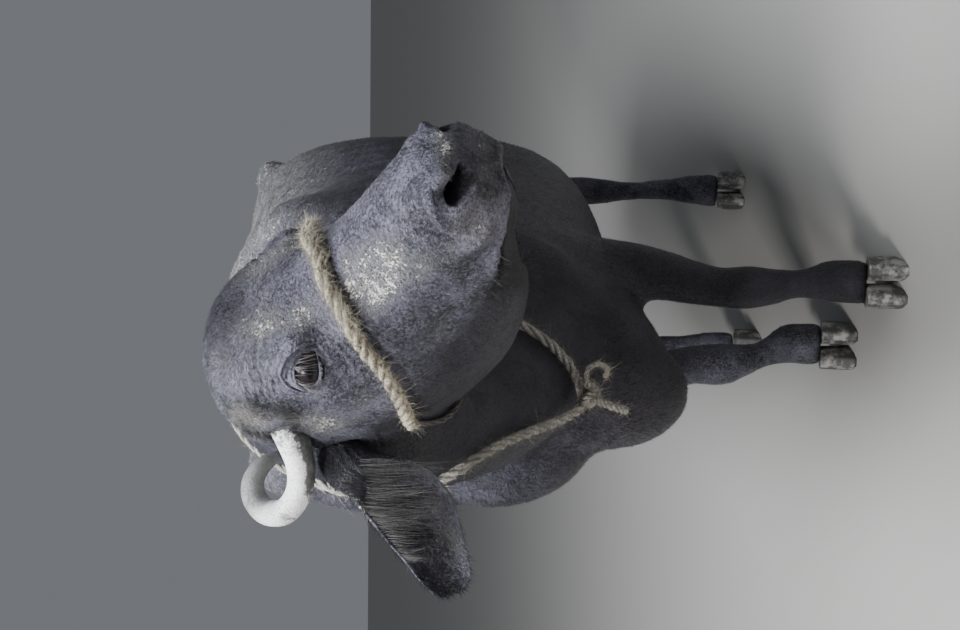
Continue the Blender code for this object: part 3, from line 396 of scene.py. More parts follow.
# The hide is slate grey skin under sparse hair, with dried pale mud on brow, cheek and bridge.
# Where the mud, the bare nose pad and the pinkish brisket lie is painted on the hide's own points, with painted shade
# in the hollows, under the jaw, on the forehead and over the lower body, and painted highlights of wet on the muzzle.
def patch(points, centre, radii, one_side=0):
    """How strongly a soft patch covers each point, from 0 to 1."""
    mirrored = points.copy()
    if not one_side:
        mirrored[:, 1] = np.abs(mirrored[:, 1])
    away = (mirrored - np.array(centre)) / np.array(radii)
    return np.exp(-1.4 * (away**2).sum(axis=1))


MUD_AND_WET_HIGHLIGHTS = (
    # how thick, where in the head's own frame, and how far it reaches
    (0.95, (0.290, 0.068, -0.047), (0.036, 0.034, 0.032)), (0.95, (0.338, 0.062, -0.046), (0.048, 0.036, 0.030)),
    (0.50, (0.310, 0.045, -0.020), (0.060, 0.034, 0.040)), (0.45, (0.375, 0.064, -0.085), (0.040, 0.030, 0.030)),
    (0.72, (0.166, 0.044, 0.026), (0.040, 0.032, 0.034)), (0.74, (0.208, 0.060, -0.002), (0.034, 0.026, 0.026)),
    (0.30, (0.120, 0.030, 0.045), (0.050, 0.050, 0.030)), (0.95, (0.084, 0.112, -0.098), (0.030, 0.034, 0.048)),
    # the patches near x 0.45 to 0.49, round the nostrils and on the muzzle's side, are partly crust and partly painted
    # highlights of wet
    (0.85, (0.052, 0.106, -0.016), (0.034, 0.034, 0.034)), (0.90, (0.491, 0.020, -0.090), (0.016, 0.018, 0.014)),
    (0.80, (0.478, 0.035, -0.040), (0.018, 0.024, 0.013)), (0.75, (0.485, 0.000, -0.044), (0.018, 0.034, 0.014)),
    (0.35, (0.150, 0.110, -0.130), (0.050, 0.040, 0.040)), (0.42, (0.280, 0.090, -0.150), (0.030, 0.040, 0.018)),
    (0.40, (0.245, 0.085, -0.030), (0.024, 0.024, 0.020)), (0.52, (0.455, 0.070, -0.092), (0.036, 0.034, 0.040)),
)


def marks(world_points):
    """Mud with painted highlights, pink, bare pad and painted shade in the hollows, under the jaw, on the forehead and
    over the lower body, as the four parts of one colour.
    """
    head = to_head(world_points)
    body = world_points - np.array(BODY)
    in_front = smooth_step(head[:, 0], -0.10, 0.0)
    mud_and_highlights = np.zeros(len(head))
    for strength, centre, radii in MUD_AND_WET_HIGHLIGHTS:
        mud_and_highlights += strength * patch(head, centre, radii)
    mud_and_highlights = mud_and_highlights * in_front + 0.08 + 0.22 * smooth_step(0.30 - world_points[:, 2], 0, 0.25)
    # pale dust on the top of the withers, partly a painted highlight where the light falls on top
    mud_and_highlights += 0.70 * (1 - in_front) * smooth_step(body[:, 2], 0.95, 1.15) * smooth_step(body[:, 1], -0.75, -0.45)
    pink = patch(body, (-0.10, -0.66, 0.56), (0.16, 0.20, 0.10), one_side=1)
    pink += 0.5 * patch(head, (0.455, 0.062, -0.100), (0.044, 0.044, 0.040)) + 0.6 * patch(body, (0.0, 0.52, 0.52), (0.10, 0.14, 0.09), one_side=1)
    pad = patch(head, (0.494, 0.000, -0.080), (0.020, 0.040, 0.034))
    near_mouth = smooth_step(head[:, 0], 0.335, 0.385)
    lip = above_lips(head)
    # painted shade: in the nostrils, along and below the mouth's gap, on the lower cheeks under the jaw and on the
    # forehead
    deep = np.exp(-((nostril_share(head) / 1.06) ** 4)) + 0.9 * near_mouth * np.exp(-(((lip + 0.002) / 0.0045) ** 2))
    deep += 0.95 * near_mouth * smooth_step(-lip, 0, 0.006)
    deep += 0.85 * in_front * smooth_step(-0.140 - head[:, 2], 0, 0.065) * (1 - 0.6 * near_mouth)
    deep += 0.85 * in_front * patch(head, (0.100, 0.0, 0.055), (0.110, 0.110, 0.060))
    # painted shade over the neck, chest, legs and lower trunk, most at the front of the neck, least on the top of the
    # withers
    lower_body_shade = 0.60 + 0.50 * patch(body, (0.0, -0.90, 0.82), (0.30, 0.22, 0.24), one_side=1) - 0.90 * smooth_step(body[:, 2], 0.80, 1.12) * smooth_step(body[:, 1], -0.75, -0.35)
    deep += (1 - in_front) * np.clip(lower_body_shade, 0, 1) * smooth_step(body[:, 2], 0.20, 0.50)
    return np.column_stack([np.clip(mud_and_highlights, 0, 1), np.clip(pink, 0, 1), np.clip(pad, 0, 1), np.clip(deep, 0, 1)])


def paint(obj, colours, name="marks"):
    layer = obj.data.color_attributes.new(name, "FLOAT_COLOR", "POINT")
    layer.data.foreach_set("color", np.ascontiguousarray(colours, dtype=np.float32).ravel())
    # the fourth part, the painted shade, is also kept on its own as depth
    if name == "marks":
        paint(obj, np.repeat(colours[:, 3:4], 4, axis=1), "depth")


def add(tree, kind, sockets=None, **settings):
    """One shader node, with its sockets set or linked."""
    made = tree.nodes.new(kind)
    for name, value in settings.items():
        setattr(made, name, value)
    for name, value in (sockets or {}).items():
        if isinstance(value, bpy.types.NodeSocket):
            tree.links.new(value, made.inputs[name])
        else:
            made.inputs[name].default_value = value
    return made


def noise(tree, place, scale, detail=4.0, roughness=0.6, stretch=None, turn=None):
    if stretch:
        sockets = {"Vector": place, "Scale": stretch}
        if turn:
            sockets["Rotation"] = turn
        place = add(tree, "ShaderNodeMapping", sockets).outputs["Vector"]
    sockets = {"Vector": place, "Scale": scale, "Detail": detail, "Roughness": roughness}
    return add(tree, "ShaderNodeTexNoise", sockets).outputs["Fac"]


def spread(tree, value, low, high, to_low=0.0, to_high=1.0):
    sockets = {"Value": value, "From Min": low, "From Max": high, "To Min": to_low, "To Max": to_high}
    return add(tree, "ShaderNodeMapRange", sockets).outputs["Result"]


def mixed(tree, share, one, two):
    made = add(tree, "ShaderNodeMix", data_type="RGBA")
    for socket, value in zip((made.inputs[0], made.inputs[6], made.inputs[7]), (share, one, two)):
        if isinstance(value, bpy.types.NodeSocket):
            tree.links.new(value, socket)
        else:
            socket.default_value = value if not isinstance(value, tuple) else (*value, 1)
    return made.outputs[2]


def maths(tree, operation, one, two=0.0):
    made = add(tree, "ShaderNodeMath", operation=operation)
    for socket, value in zip(made.inputs, (one, two)):
        if isinstance(value, bpy.types.NodeSocket):
            tree.links.new(value, socket)
        else:
            socket.default_value = value
    return made.outputs[0]


def bump(tree, height, distance, strength=1.0, under=None):
    sockets = {"Height": height, "Distance": distance, "Strength": strength}
    if under:
        sockets["Normal"] = under
    return add(tree, "ShaderNodeBump", sockets).outputs["Normal"]


def hide_material(name, bare=1.0):
    made = new_material(name, (0.05, 0.05, 0.06), 0.55)
    tree = made.node_tree
    shader = tree.nodes["Principled BSDF"]
    place = add(tree, "ShaderNodeTexCoord").outputs["Object"]
    painted = add(tree, "ShaderNodeSeparateColor", {"Color": add(tree, "ShaderNodeAttribute", attribute_name="marks").outputs["Color"]})
    # the red part is mud, with painted highlights of wet on the muzzle and on the top of the withers
    mud_and_highlights, pink, pad = painted.outputs["Red"], painted.outputs["Green"], painted.outputs["Blue"]
    broad = spread(tree, noise(tree, place, 5.0, 4), 0.42, 0.58)
    cloudy = spread(tree, noise(tree, place, 21, 5), 0.45, 0.58)
    grain = noise(tree, place, 240, 5, 0.7)
    colour = mixed(tree, broad, (0.024, 0.024, 0.032), (0.068, 0.065, 0.092))
    colour = mixed(tree, maths(tree, "MULTIPLY", cloudy, 0.85), colour, (0.130, 0.125, 0.170))
    colour = mixed(tree, maths(tree, "MULTIPLY", pink, 0.7), colour, (0.160, 0.122, 0.128))
    # painted highlight on the raised points of the fine grain and painted shade in its hollows, the grain that also
    # drives the bump below
    colour = mixed(tree, spread(tree, grain, 0.50, 0.62, 0.0, 0.50), colour, (0.215, 0.215, 0.250))
    colour = mixed(tree, spread(tree, grain, 0.49, 0.38, 0.0, 0.70), colour, (0.010, 0.010, 0.014))
    lumps = noise(tree, place, 46, 5, 0.65)
    crumbs = noise(tree, place, 190, 6, 0.75)
    crust = maths(tree, "ADD", maths(tree, "MULTIPLY", crumbs, 0.62), maths(tree, "MULTIPLY", lumps, 0.40))
    crust = spread(tree, maths(tree, "ADD", crust, maths(tree, "MULTIPLY", mud_and_highlights, 0.175)), 0.655, 0.690)
    dust = maths(tree, "ADD", maths(tree, "MULTIPLY", mud_and_highlights, 0.5), maths(tree, "MULTIPLY", lumps, 0.6))
    dust = spread(tree, dust, 0.40, 0.80, 0.0, 0.55)
    colour = mixed(tree, dust, colour, (0.200, 0.198, 0.212))
    colour = mixed(tree, crust, colour, mixed(tree, spread(tree, noise(tree, place, 330, 4, 0.7), 0.45, 0.55), (0.075, 0.073, 0.072), (0.78, 0.76, 0.72)))
    glints = spread(tree, noise(tree, place, 380, 3, 0.8), 0.62, 0.70, 0.0, 0.6)
    colour = mixed(tree, glints, colour, (0.34, 0.35, 0.40))
    colour = mixed(tree, maths(tree, "MULTIPLY", pad, 0.55), colour, (0.058, 0.054, 0.056))
    # painted shade: the hide is darkened toward black as the depth attribute says
    deep = add(tree, "ShaderNodeAttribute", attribute_name="depth").outputs["Fac"]
    colour = mixed(tree, maths(tree, "MULTIPLY", deep, 0.95), colour, (0.013, 0.012, 0.015))
    tree.links.new(colour, shader.inputs["Base Color"])
    rough = maths(tree, "ADD", maths(tree, "MULTIPLY", crust, 0.3), spread(tree, cloudy, 0, 1, 0.32, 0.46))
    rough = maths(tree, "SUBTRACT", rough, maths(tree, "MULTIPLY", pad, 0.16))
    tree.links.new(rough, shader.inputs["Roughness"])
    creases = add(tree, "ShaderNodeTexVoronoi", {"Vector": place, "Scale": 190.0}, feature="DISTANCE_TO_EDGE")
    normal = bump(tree, spread(tree, creases.outputs["Distance"], 0.0, 0.22), 0.0005, 0.6)
    normal = bump(tree, noise(tree, place, 58, 6, 0.65), 0.0042, 0.9, normal)
    normal = bump(tree, grain, 0.0042, 1.0, normal)
    normal = bump(tree, crust, 0.0032, 1.0, normal)
    tree.links.new(normal, shader.inputs["Normal"])
    shader.inputs["Specular IOR Level"].default_value = 0.25
    return made


paint(skin, marks(points))
hide = hide_material("slate_hide")
skin.data.materials.append(hide)
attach(skin, "root")
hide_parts("head", "neck", "torso", "leg_front_left", "leg_front_right", "leg_hind_left", "leg_hind_right", "tail")
skin_tree = BVHTree.FromPolygons([Vector(p) for p in read_points(skin)], [tuple(f.vertices) for f in skin.data.polygons])


# Each eye is a dark glossy ball under a thin lid, with a level black pupil in a deep brown ring.
# The lids are drawn over the ball from the hide around it, with rings of folds and long pale lashes.
def eye_axes(side):
    """Out of the head, along the opening, and up across it, all in the head's own frame."""
    out = Vector((0.50, 0.84 * side, 0.16)).normalized()
    along = Vector((0.90, 0, 0.42))
    along = (along - out * along.dot(out)).normalized()
    high = along.cross(out).normalized()
    if high.z < 0:
        high = -high
    return out, along, high


EYE_RADIUS = 0.0255
eye_material = new_material("wet_eye", (0.012, 0.008, 0.006), 0.22)
tree = eye_material.node_tree
shader = tree.nodes["Principled BSDF"]
painted = add(tree, "ShaderNodeSeparateColor", {"Color": add(tree, "ShaderNodeAttribute", attribute_name="iris").outputs["Color"]})
eye_colour = mixed(tree, painted.outputs["Red"], (0.060, 0.048, 0.050), (0.022, 0.016, 0.019))
eye_colour = mixed(tree, painted.outputs["Green"], eye_colour, (0.005, 0.005, 0.007))
tree.links.new(eye_colour, shader.inputs["Base Color"])
shader.inputs["Coat Weight"].default_value = 0.10
shader.inputs["Specular IOR Level"].default_value = 0.22
shader.inputs["Coat Roughness"].default_value = 0.06
shader.inputs["IOR"].default_value = 1.38

for side, word in ((1, "left"), (-1, "right")):
    out, along, high = eye_axes(side)
    centre = Vector((EYE_IN_HEAD[0], EYE_IN_HEAD[1] * side, EYE_IN_HEAD[2]))
    bm = bmesh.new()
    bmesh.ops.create_uvsphere(bm, u_segments=56, v_segments=40, radius=EYE_RADIUS)
    iris = []
    for vert in bm.verts:
        facing = vert.co.normalized()
        toward = facing.dot(out)
        bulge = max(0.0, toward - 0.80) / 0.20
        vert.co += out * 0.0011 * bulge
        wide, tall = facing.dot(along), facing.dot(high)
        iris.append((
            min(1, max(0, (0.66 - math.hypot(wide, tall)) / 0.08)),
            min(1, max(0, (1 - math.hypot(wide / 0.40, tall / 0.20)) / 0.2)), 0, 1,
        ))
        vert.co = HEAD @ (centre + vert.co)
    eye = new_object("eyeball_" + word, bm)
    paint(eye, np.array(iris), "iris")
    eye.data.materials.append(eye_material)
    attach(eye, "root")
    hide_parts("eye_" + word)


def almond(turn):
    """The edge of the opening, along and up from the eye's centre, with its inner corner drawn out."""
    c, s = math.cos(turn), math.sin(turn)
    inner = max(0.0, c)
    u = (0.0295 if c > 0 else 0.0222) * c
    tall = 0.0176 if s > 0 else 0.0108
    return u, tall * s * (1 - 0.42 * inner * inner) - 0.0045 * inner * inner


def lids(side, word):
    out, along, high = eye_axes(side)
    centre = Vector((EYE_IN_HEAD[0], EYE_IN_HEAD[1] * side, EYE_IN_HEAD[2]))
    rings, spokes, reach = 46, 128, 0.050
    back = HEAD.to_3x3() @ -out
    bm = bmesh.new()
    bmesh.ops.create_grid(bm, x_segments=spokes, y_segments=rings, size=0.5)
    for vert in bm.verts:
        turn = (vert.co.x + 0.5) * math.tau
        share = vert.co.y + 0.5
        u, v = almond(turn)
        edge = math.hypot(u, v)
        if share < 0.10:
            inner = share / 0.10
            scale = 1.07 - 0.09 * inner
            u, v = u * scale, v * scale
            height = math.sqrt(max(EYE_RADIUS**2 - u * u - v * v, 1e-8)) - 0.0012 + 0.0030 * inner
        else:
            t = (share - 0.10) / 0.90
            spot = edge + (reach - edge) * t**1.15
            margin = 1 - math.exp(-t * 26)
            u, v = u / edge * (spot - edge * 0.02 * (1 - margin)), v / edge * (spot - edge * 0.02 * (1 - margin))
            ball = math.sqrt(max(EYE_RADIUS**2 - min(math.hypot(u, v), 0.0215) ** 2, 1e-8))
            lid = ball + 0.0018 + 0.0026 * margin
            place = HEAD @ (centre + along * u + high * v + out * 0.06)
            hit = skin_tree.ray_cast(place, back, 0.12)
            ground = 0.06 - (hit[0] - place).length / HEAD_SCALE if hit[0] else lid
            blend = min(1.0, max(0.0, (t - 0.10) / 0.45))
            blend = blend * blend * (3 - 2 * blend)
            height = lid * (1 - blend) + ground * blend
            wave = math.sin(turn * 2.0 + 3 * t) * 0.9 + math.sin(turn * 5 + 1.3) * 0.5 + 0.4 * math.sin(turn * 11 + 9 * t)
            window = min(1, 0.25 + t / 0.5) * min(1, t / 0.08) * min(1, max(0, (0.80 - t) / 0.30))
            strength = (0.0011 + 0.0004 * math.sin(turn * 7 + 5 * t)) if v > 0 else 0.0009 * (0.3 + 0.7 * min(1, max(0, (0.5 - t) / 0.3)))
            height += strength * window * math.sin(t * (36 if v > 0 else 26) + wave)
            height += 0.0034 * math.exp(-(((t - 0.16) / 0.10) ** 2)) * (0.9 if v > 0 else 0.45)
            height -= 0.0026 * math.exp(-(((t - 0.42) / 0.07) ** 2)) * (1.0 if v > 0 else 0.3)
            height -= 0.0020 * max(0.0, (t - 0.86) / 0.14)
        vert.co = HEAD @ (centre + along * u + high * v + out * height)
    bmesh.ops.remove_doubles(bm, verts=bm.verts, dist=1e-6)
    bmesh.ops.recalc_face_normals(bm, faces=bm.faces)
    if sum(face.normal.dot(back) for face in bm.faces) > 0:
        bmesh.ops.reverse_faces(bm, faces=bm.faces)
    made = new_object("lids_" + word, bm)
    paint(made, marks(read_points(made)))
    made.data.materials.append(hide)
    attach(made, "root")
    return made


def lashes(side, word):
    """Pale lashes that stand out from the upper lid and fall across the eye, and a few short ones below."""
    out, along, high = eye_axes(side)
    centre = Vector((EYE_IN_HEAD[0], EYE_IN_HEAD[1] * side, EYE_IN_HEAD[2]))
    bm = bmesh.new()
    for n in range(72):
        upper = n < 48
        turn = math.radians(rng.uniform(28, 165) if upper else rng.uniform(205, 335))
        u, v = almond(turn)
        u, v = u * 1.05, v * 1.05
        height = math.sqrt(max(1e-6, EYE_RADIUS**2 - u * u - v * v)) + 0.0032
        length = rng.uniform(0.5, 1.0) ** 0.6 * (0.034 if upper else 0.008)
        start = centre + along * u + high * v + out * height
        fan, droop = rng.normal(0.10, 0.16) + u * 9, rng.uniform(0.8, 1.1)
        for step in range(7):
            t = step / 6
            if upper:
                bend = out * (0.72 * t - 0.42 * t * t) - high * (droop * (0.15 * t + 0.80 * t * t)) + along * (fan * t)
            else:
                bend = out * (0.9 * t) - high * (0.5 * t) + along * (fan * t)
            place = HEAD @ (start + bend * length)
            wide = (HEAD.to_3x3() @ (along + out * 0.3)).normalized() * (0.00030 * (1.10 - t))
            pair = [bm.verts.new(place - wide), bm.verts.new(place + wide)]
            if step:
                bm.faces.new((last[0], last[1], pair[1], pair[0]))
            last = pair
    made = new_object("lashes_" + word, bm)
    made.data.materials.append(lash_hair)
    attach(made, "root")
    bm = bmesh.new()
    bmesh.ops.create_icosphere(bm, subdivisions=3, radius=1)
    for vert in bm.verts:
        local = along * (0.0250 + vert.co.x * 0.0050) + high * (-0.0040 + vert.co.y * 0.0042) + out * (0.0075 + vert.co.z * 0.0065)
        vert.co = HEAD @ (centre + local)
    corner = new_object("tear_corner_" + word, bm)
    corner.data.materials.append(tear_skin)
    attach(corner, "root")


lash_hair = new_material("lash_hair", (0.13, 0.125, 0.125), 0.5)
tear_skin = new_material("tear_skin", (0.035, 0.024, 0.025), 0.22)
points = read_points(skin)
in_head = to_head(points)
rise = np.zeros(len(points))
for side, word in ((1, "left"), (-1, "right")):
    lids(side, word)
    lashes(side, word)
    out, along, high = eye_axes(side)
    aside = in_head - np.array((EYE_IN_HEAD[0], EYE_IN_HEAD[1] * side, EYE_IN_HEAD[2]))
    apart = np.hypot(aside @ np.array(along), aside @ np.array(high))
    near = (aside @ np.array(out) > -0.02) & (apart < 0.06)
    rise -= np.where(near, 0.0032 * (1 - smooth_step(apart, 0.036, 0.047)), 0)
write_points(skin, points + read_points(skin, "normal") * rise[:, None])


# The ears are cupped blades of hide with a rolled, muddy upper rim that carries a painted highlight where it bends, and
# a bare cup darkened with painted shade away from the rim and at the base.
# They stand out level behind the horns, and long grey hair hangs from the rim across the cup.
def along_rows(rows, share):
    """A smooth path through rows of numbers, at a share of its length from 0 to 1."""
    rows = np.asarray(rows, dtype=float)
    spot = min(max(share, 0.0), 1.0) * (len(rows) - 1)
    k = min(int(spot), len(rows) - 2)
    t = spot - k
    a, b, c, d = rows[max(k - 1, 0)], rows[k], rows[k + 1], rows[min(k + 2, len(rows) - 1)]
    return 0.5 * (2 * b + (c - a) * t + (2 * a - 5 * b + 4 * c - d) * t * t + (3 * b - 3 * c + d - a) * t**3)


def bent_sheet(around, along, place_at):
    """A grid sheet carried to its place point by point, closed on itself and facing outward."""
    bm = bmesh.new()
    bmesh.ops.create_grid(bm, x_segments=around, y_segments=along, size=0.5)
    for vert in bm.verts:
        vert.co = place_at(vert.co.x + 0.5, vert.co.y + 0.5)
    bmesh.ops.remove_doubles(bm, verts=bm.verts, dist=1e-6)
    bmesh.ops.recalc_face_normals(bm, faces=bm.faces)
    middle = sum((vert.co for vert in bm.verts), Vector()) / len(bm.verts)
    open_end = [vert.co for vert in bm.verts if vert.is_boundary]
    if open_end:
        middle = sum(open_end, Vector()) / len(open_end)
    bmesh.ops.translate(bm, verts=bm.verts, vec=-middle)
    if bm.calc_volume(signed=True) < 0:
        bmesh.ops.reverse_faces(bm, faces=bm.faces)
    bmesh.ops.translate(bm, verts=bm.verts, vec=middle)
    return bm


EAR_ROWS = (
    # upper rim, lower rim, depth of the back, depth of the cup
    (0.010, 0.085, -0.120, 0.030, 0.075, -0.165, 0.022, -0.018),
    (0.002, 0.138, -0.150, 0.052, 0.112, -0.190, 0.026, -0.014),
    (-0.002, 0.153, -0.186, 0.068, 0.124, -0.232, 0.032, 0.007),
    (-0.010, 0.166, -0.207, 0.072, 0.140, -0.268, 0.034, 0.025),
    (-0.018, 0.181, -0.231, 0.058, 0.160, -0.302, 0.032, 0.025),
    (-0.028, 0.198, -0.258, 0.034, 0.181, -0.330, 0.028, 0.021),
    (-0.037, 0.215, -0.286, 0.011, 0.201, -0.352, 0.022, 0.016),
    (-0.047, 0.233, -0.313, -0.010, 0.219, -0.371, 0.016, 0.011),
    (-0.052, 0.245, -0.335, -0.034, 0.233, -0.382, 0.010, 0.006),
    (-0.052, 0.251, -0.350, -0.050, 0.242, -0.372, 0.006, 0.002),
)
EAR_HINGE = Vector((0.010, 0.090, -0.140))
LEFT_EAR_TURN = Matrix.Rotation(math.radians(13), 3, "X") @ Matrix.Rotation(math.radians(-18), 3, "Z")
EAR_BACK = Vector((-0.7894, -0.5263, -0.3158))


def ear_rims(side, share):
    row = along_rows(EAR_ROWS, share)
    upper, lower = Vector(row[0:3]), Vector(row[3:6])
    if side > 0:
        upper = EAR_HINGE + LEFT_EAR_TURN @ (upper - EAR_HINGE)
        lower = EAR_HINGE + LEFT_EAR_TURN @ (lower - EAR_HINGE)
    return upper, lower, row[6], row[7]


def ear_point(side, around, along):
    upper, lower, deep, hollow = ear_rims(side, min(along, 0.999))
    taper = 1 - 0.6 * along
    inner = 0.5 < around < 0.95
    if around <= 0.45:
        u, out, turn = around / 0.45, 1, 0
    elif around < 0.5:
        u, out, turn = 1.0, 1, (around - 0.45) / 0.05 * math.pi
    elif around <= 0.95:
        u, out, turn = 1 - (around - 0.5) / 0.45, -1, math.pi
    else:
        u, out, turn = 0.0, -1, math.pi * (1 + (around - 0.95) / 0.05)
    bulge = max(0.0, 1 - (2 * u - 1) ** 2) ** 0.8
    bead = taper * (0.0014 + 0.0030 * math.exp(-((u / 0.08) ** 2)))
    wave = 0.0035 * math.sin(along * 21 + 2 * u) * u * (1 - along)
    depth = hollow if inner else deep
    if inner:
        ridges = math.exp(-(((u - 0.5) / 0.25) ** 2)) * (0.5 + 0.5 * math.cos(u * 34 + along * 3))
        depth -= 0.0022 * ridges * (1 - along)
    crown = 1.0 if along < 0.96 else math.sqrt(max(0.0, 1 - ((along - 0.96) / 0.04) ** 2))
    middle = upper.lerp(lower, 0.5) + EAR_BACK * (deep + hollow) / 2
    away = (lower - upper).normalized()
    place = upper.lerp(lower, u) + EAR_BACK * (depth * bulge)
    place += EAR_BACK * (bead * math.cos(turn) + wave) + away * (bead * math.sin(turn))
    place = middle + (place - middle) * crown
    return HEAD @ Vector((place.x, place.y * side, place.z))


ear_cup = hide_material("ear_cup")
for node in ear_cup.node_tree.nodes:
    if node.type == "BUMP":
        node.inputs["Strength"].default_value *= 0.8

for side, word in ((1, "left"), (-1, "right")):
    bm = bent_sheet(76, 60, lambda around, along: ear_point(side, around, along))
    ear = new_object("ear_blade_" + word, bm)
    ear_points = read_points(ear)
    near = to_head(ear_points)
    shares = np.linspace(0, 1, 60)
    rims = [ear_rims(side, share)[:2] for share in shares]
    upper_rim = np.array([(u.x, u.y * side, u.z) for u, _ in rims])
    lower_rim = np.array([(l.x, l.y * side, l.z) for _, l in rims])
    to_upper = np.linalg.norm(near[:, None] - upper_rim[None], axis=2)
    to_lower = np.linalg.norm(near[:, None] - lower_rim[None], axis=2)
    share = shares[to_upper.argmin(axis=1)]
    to_upper, to_lower = to_upper.min(axis=1), to_lower.min(axis=1)
    bend = np.exp(-(((share - 0.30) / 0.14) ** 2))
    # mud on the upper rim at its bend, partly a painted highlight on the rim
    mud_and_highlights = 0.10 + 0.95 * np.exp(-((to_upper / 0.009) ** 2)) * bend
    mud_and_highlights += 0.50 * np.exp(-(((share - 0.72) / 0.10) ** 2)) * smooth_step(to_upper, 0.015, 0.03)
    mud_and_highlights += 0.45 * np.exp(-(((share - 0.30) / 0.10) ** 2)) * smooth_step(to_upper, 0.045, 0.06)
    shade = 0.70 * smooth_step(to_upper, 0.004, 0.016) * (1 - 0.5 * smooth_step(share, 0.7, 1.0)) + 0.25 * (1 - smooth_step(share, 0.18, 0.28))
    paint(ear, np.column_stack([np.clip(mud_and_highlights, 0, 1), np.zeros(len(mud_and_highlights)), np.zeros(len(mud_and_highlights)), shade]))
    ear.data.materials.append(ear_cup)
    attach(ear, "root")
    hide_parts("ear_" + word)


def strands(name, paths, widths, across, roots, tones, finish):
    """Many tapered hairs as one mesh, with its own map for baking and its tone on every point."""
    paths = np.asarray(paths, dtype=float)
    count, steps = paths.shape[:2]
    taper = 1 - 0.9 * (np.arange(steps) / (steps - 1)) ** 1.5
    half = across[:, None, :] * (np.asarray(widths)[:, None] * taper)[:, :, None] / 2
    verts = np.stack([paths - half, paths + half], axis=2).reshape(-1, 3)
    start = (np.arange(count)[:, None] * steps + np.arange(steps - 1)[None]).ravel() * 2
    faces = np.column_stack([start, start + 1, start + 3, start + 2])
    mesh = bpy.data.meshes.new(name)
    mesh.from_pydata(verts, [], faces)
    mesh.polygons.foreach_set("use_smooth", np.ones(len(faces), dtype=bool))
    made = bpy.data.objects.new(name, mesh)
    bpy.context.scene.collection.objects.link(made)
    strand_of = np.repeat(np.arange(count), (steps - 1) * 4)
    step_of = np.tile(np.array([0, 0, 1, 1]) + np.arange(steps - 1)[:, None], (count, 1, 1)).reshape(-1)
    side_of = np.tile(np.array([0, 1, 1, 0]), count * (steps - 1))
    u = roots[strand_of, 0] + 0.003 * (side_of - 0.5)
    v = roots[strand_of, 1] + 0.003 * (step_of / (steps - 1) - 0.5)
    layer = mesh.uv_layers.new(name="OFBake")
    layer.data.foreach_set("uv", np.column_stack([u, v]).astype(np.float32).ravel())
    paint(made, np.repeat(tones, steps * 2, axis=0), "tone")
    made.data.materials.append(finish)
    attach(made, "root")
    return made


def hair_material(name, dark, light, roughness):
    """Red of the tone is how light a hair is, green how much mud and painted highlight it carries, and blue how far it
    is darkened, which on the coat is the painted shade of the hide there.
    """
    made = new_material(name, dark, roughness)
    tree = made.node_tree
    shader = tree.nodes["Principled BSDF"]
    tone = add(tree, "ShaderNodeSeparateColor", {"Color": add(tree, "ShaderNodeAttribute", attribute_name="tone").outputs["Color"]})
    place = add(tree, "ShaderNodeTexCoord").outputs["Object"]
    patches = spread(tree, noise(tree, place, 21, 5), 0.42, 0.62, 0.0, 0.8)
    light = mixed(tree, patches, tuple(part * 0.45 for part in light), light)
    colour = mixed(tree, tone.outputs["Red"], dark, light)
    colour = mixed(tree, spread(tree, noise(tree, place, 60, 3), 0.45, 0.75, 0.0, 0.3), colour, light)
    colour = mixed(tree, tone.outputs["Green"], colour, (0.44, 0.42, 0.39))
    # painted shade: blue darkens the hair toward black
    colour = mixed(tree, tone.outputs["Blue"], colour, (0.008, 0.008, 0.010))
    tree.links.new(colour, shader.inputs["Base Color"])
    shader.inputs["Specular IOR Level"].default_value = 0.22
    return made


def fringe_root(spot, inside):
    """Where the fringe grows: in from the tip along the upper rim, then down the ear's own front edge."""
    if spot < 0.6:
        return 0.66 - 0.36 * spot / 0.6, inside
    return 0.30 - 0.20 * (spot - 0.6) / 0.4, inside + 0.60 * (spot - 0.6) / 0.4


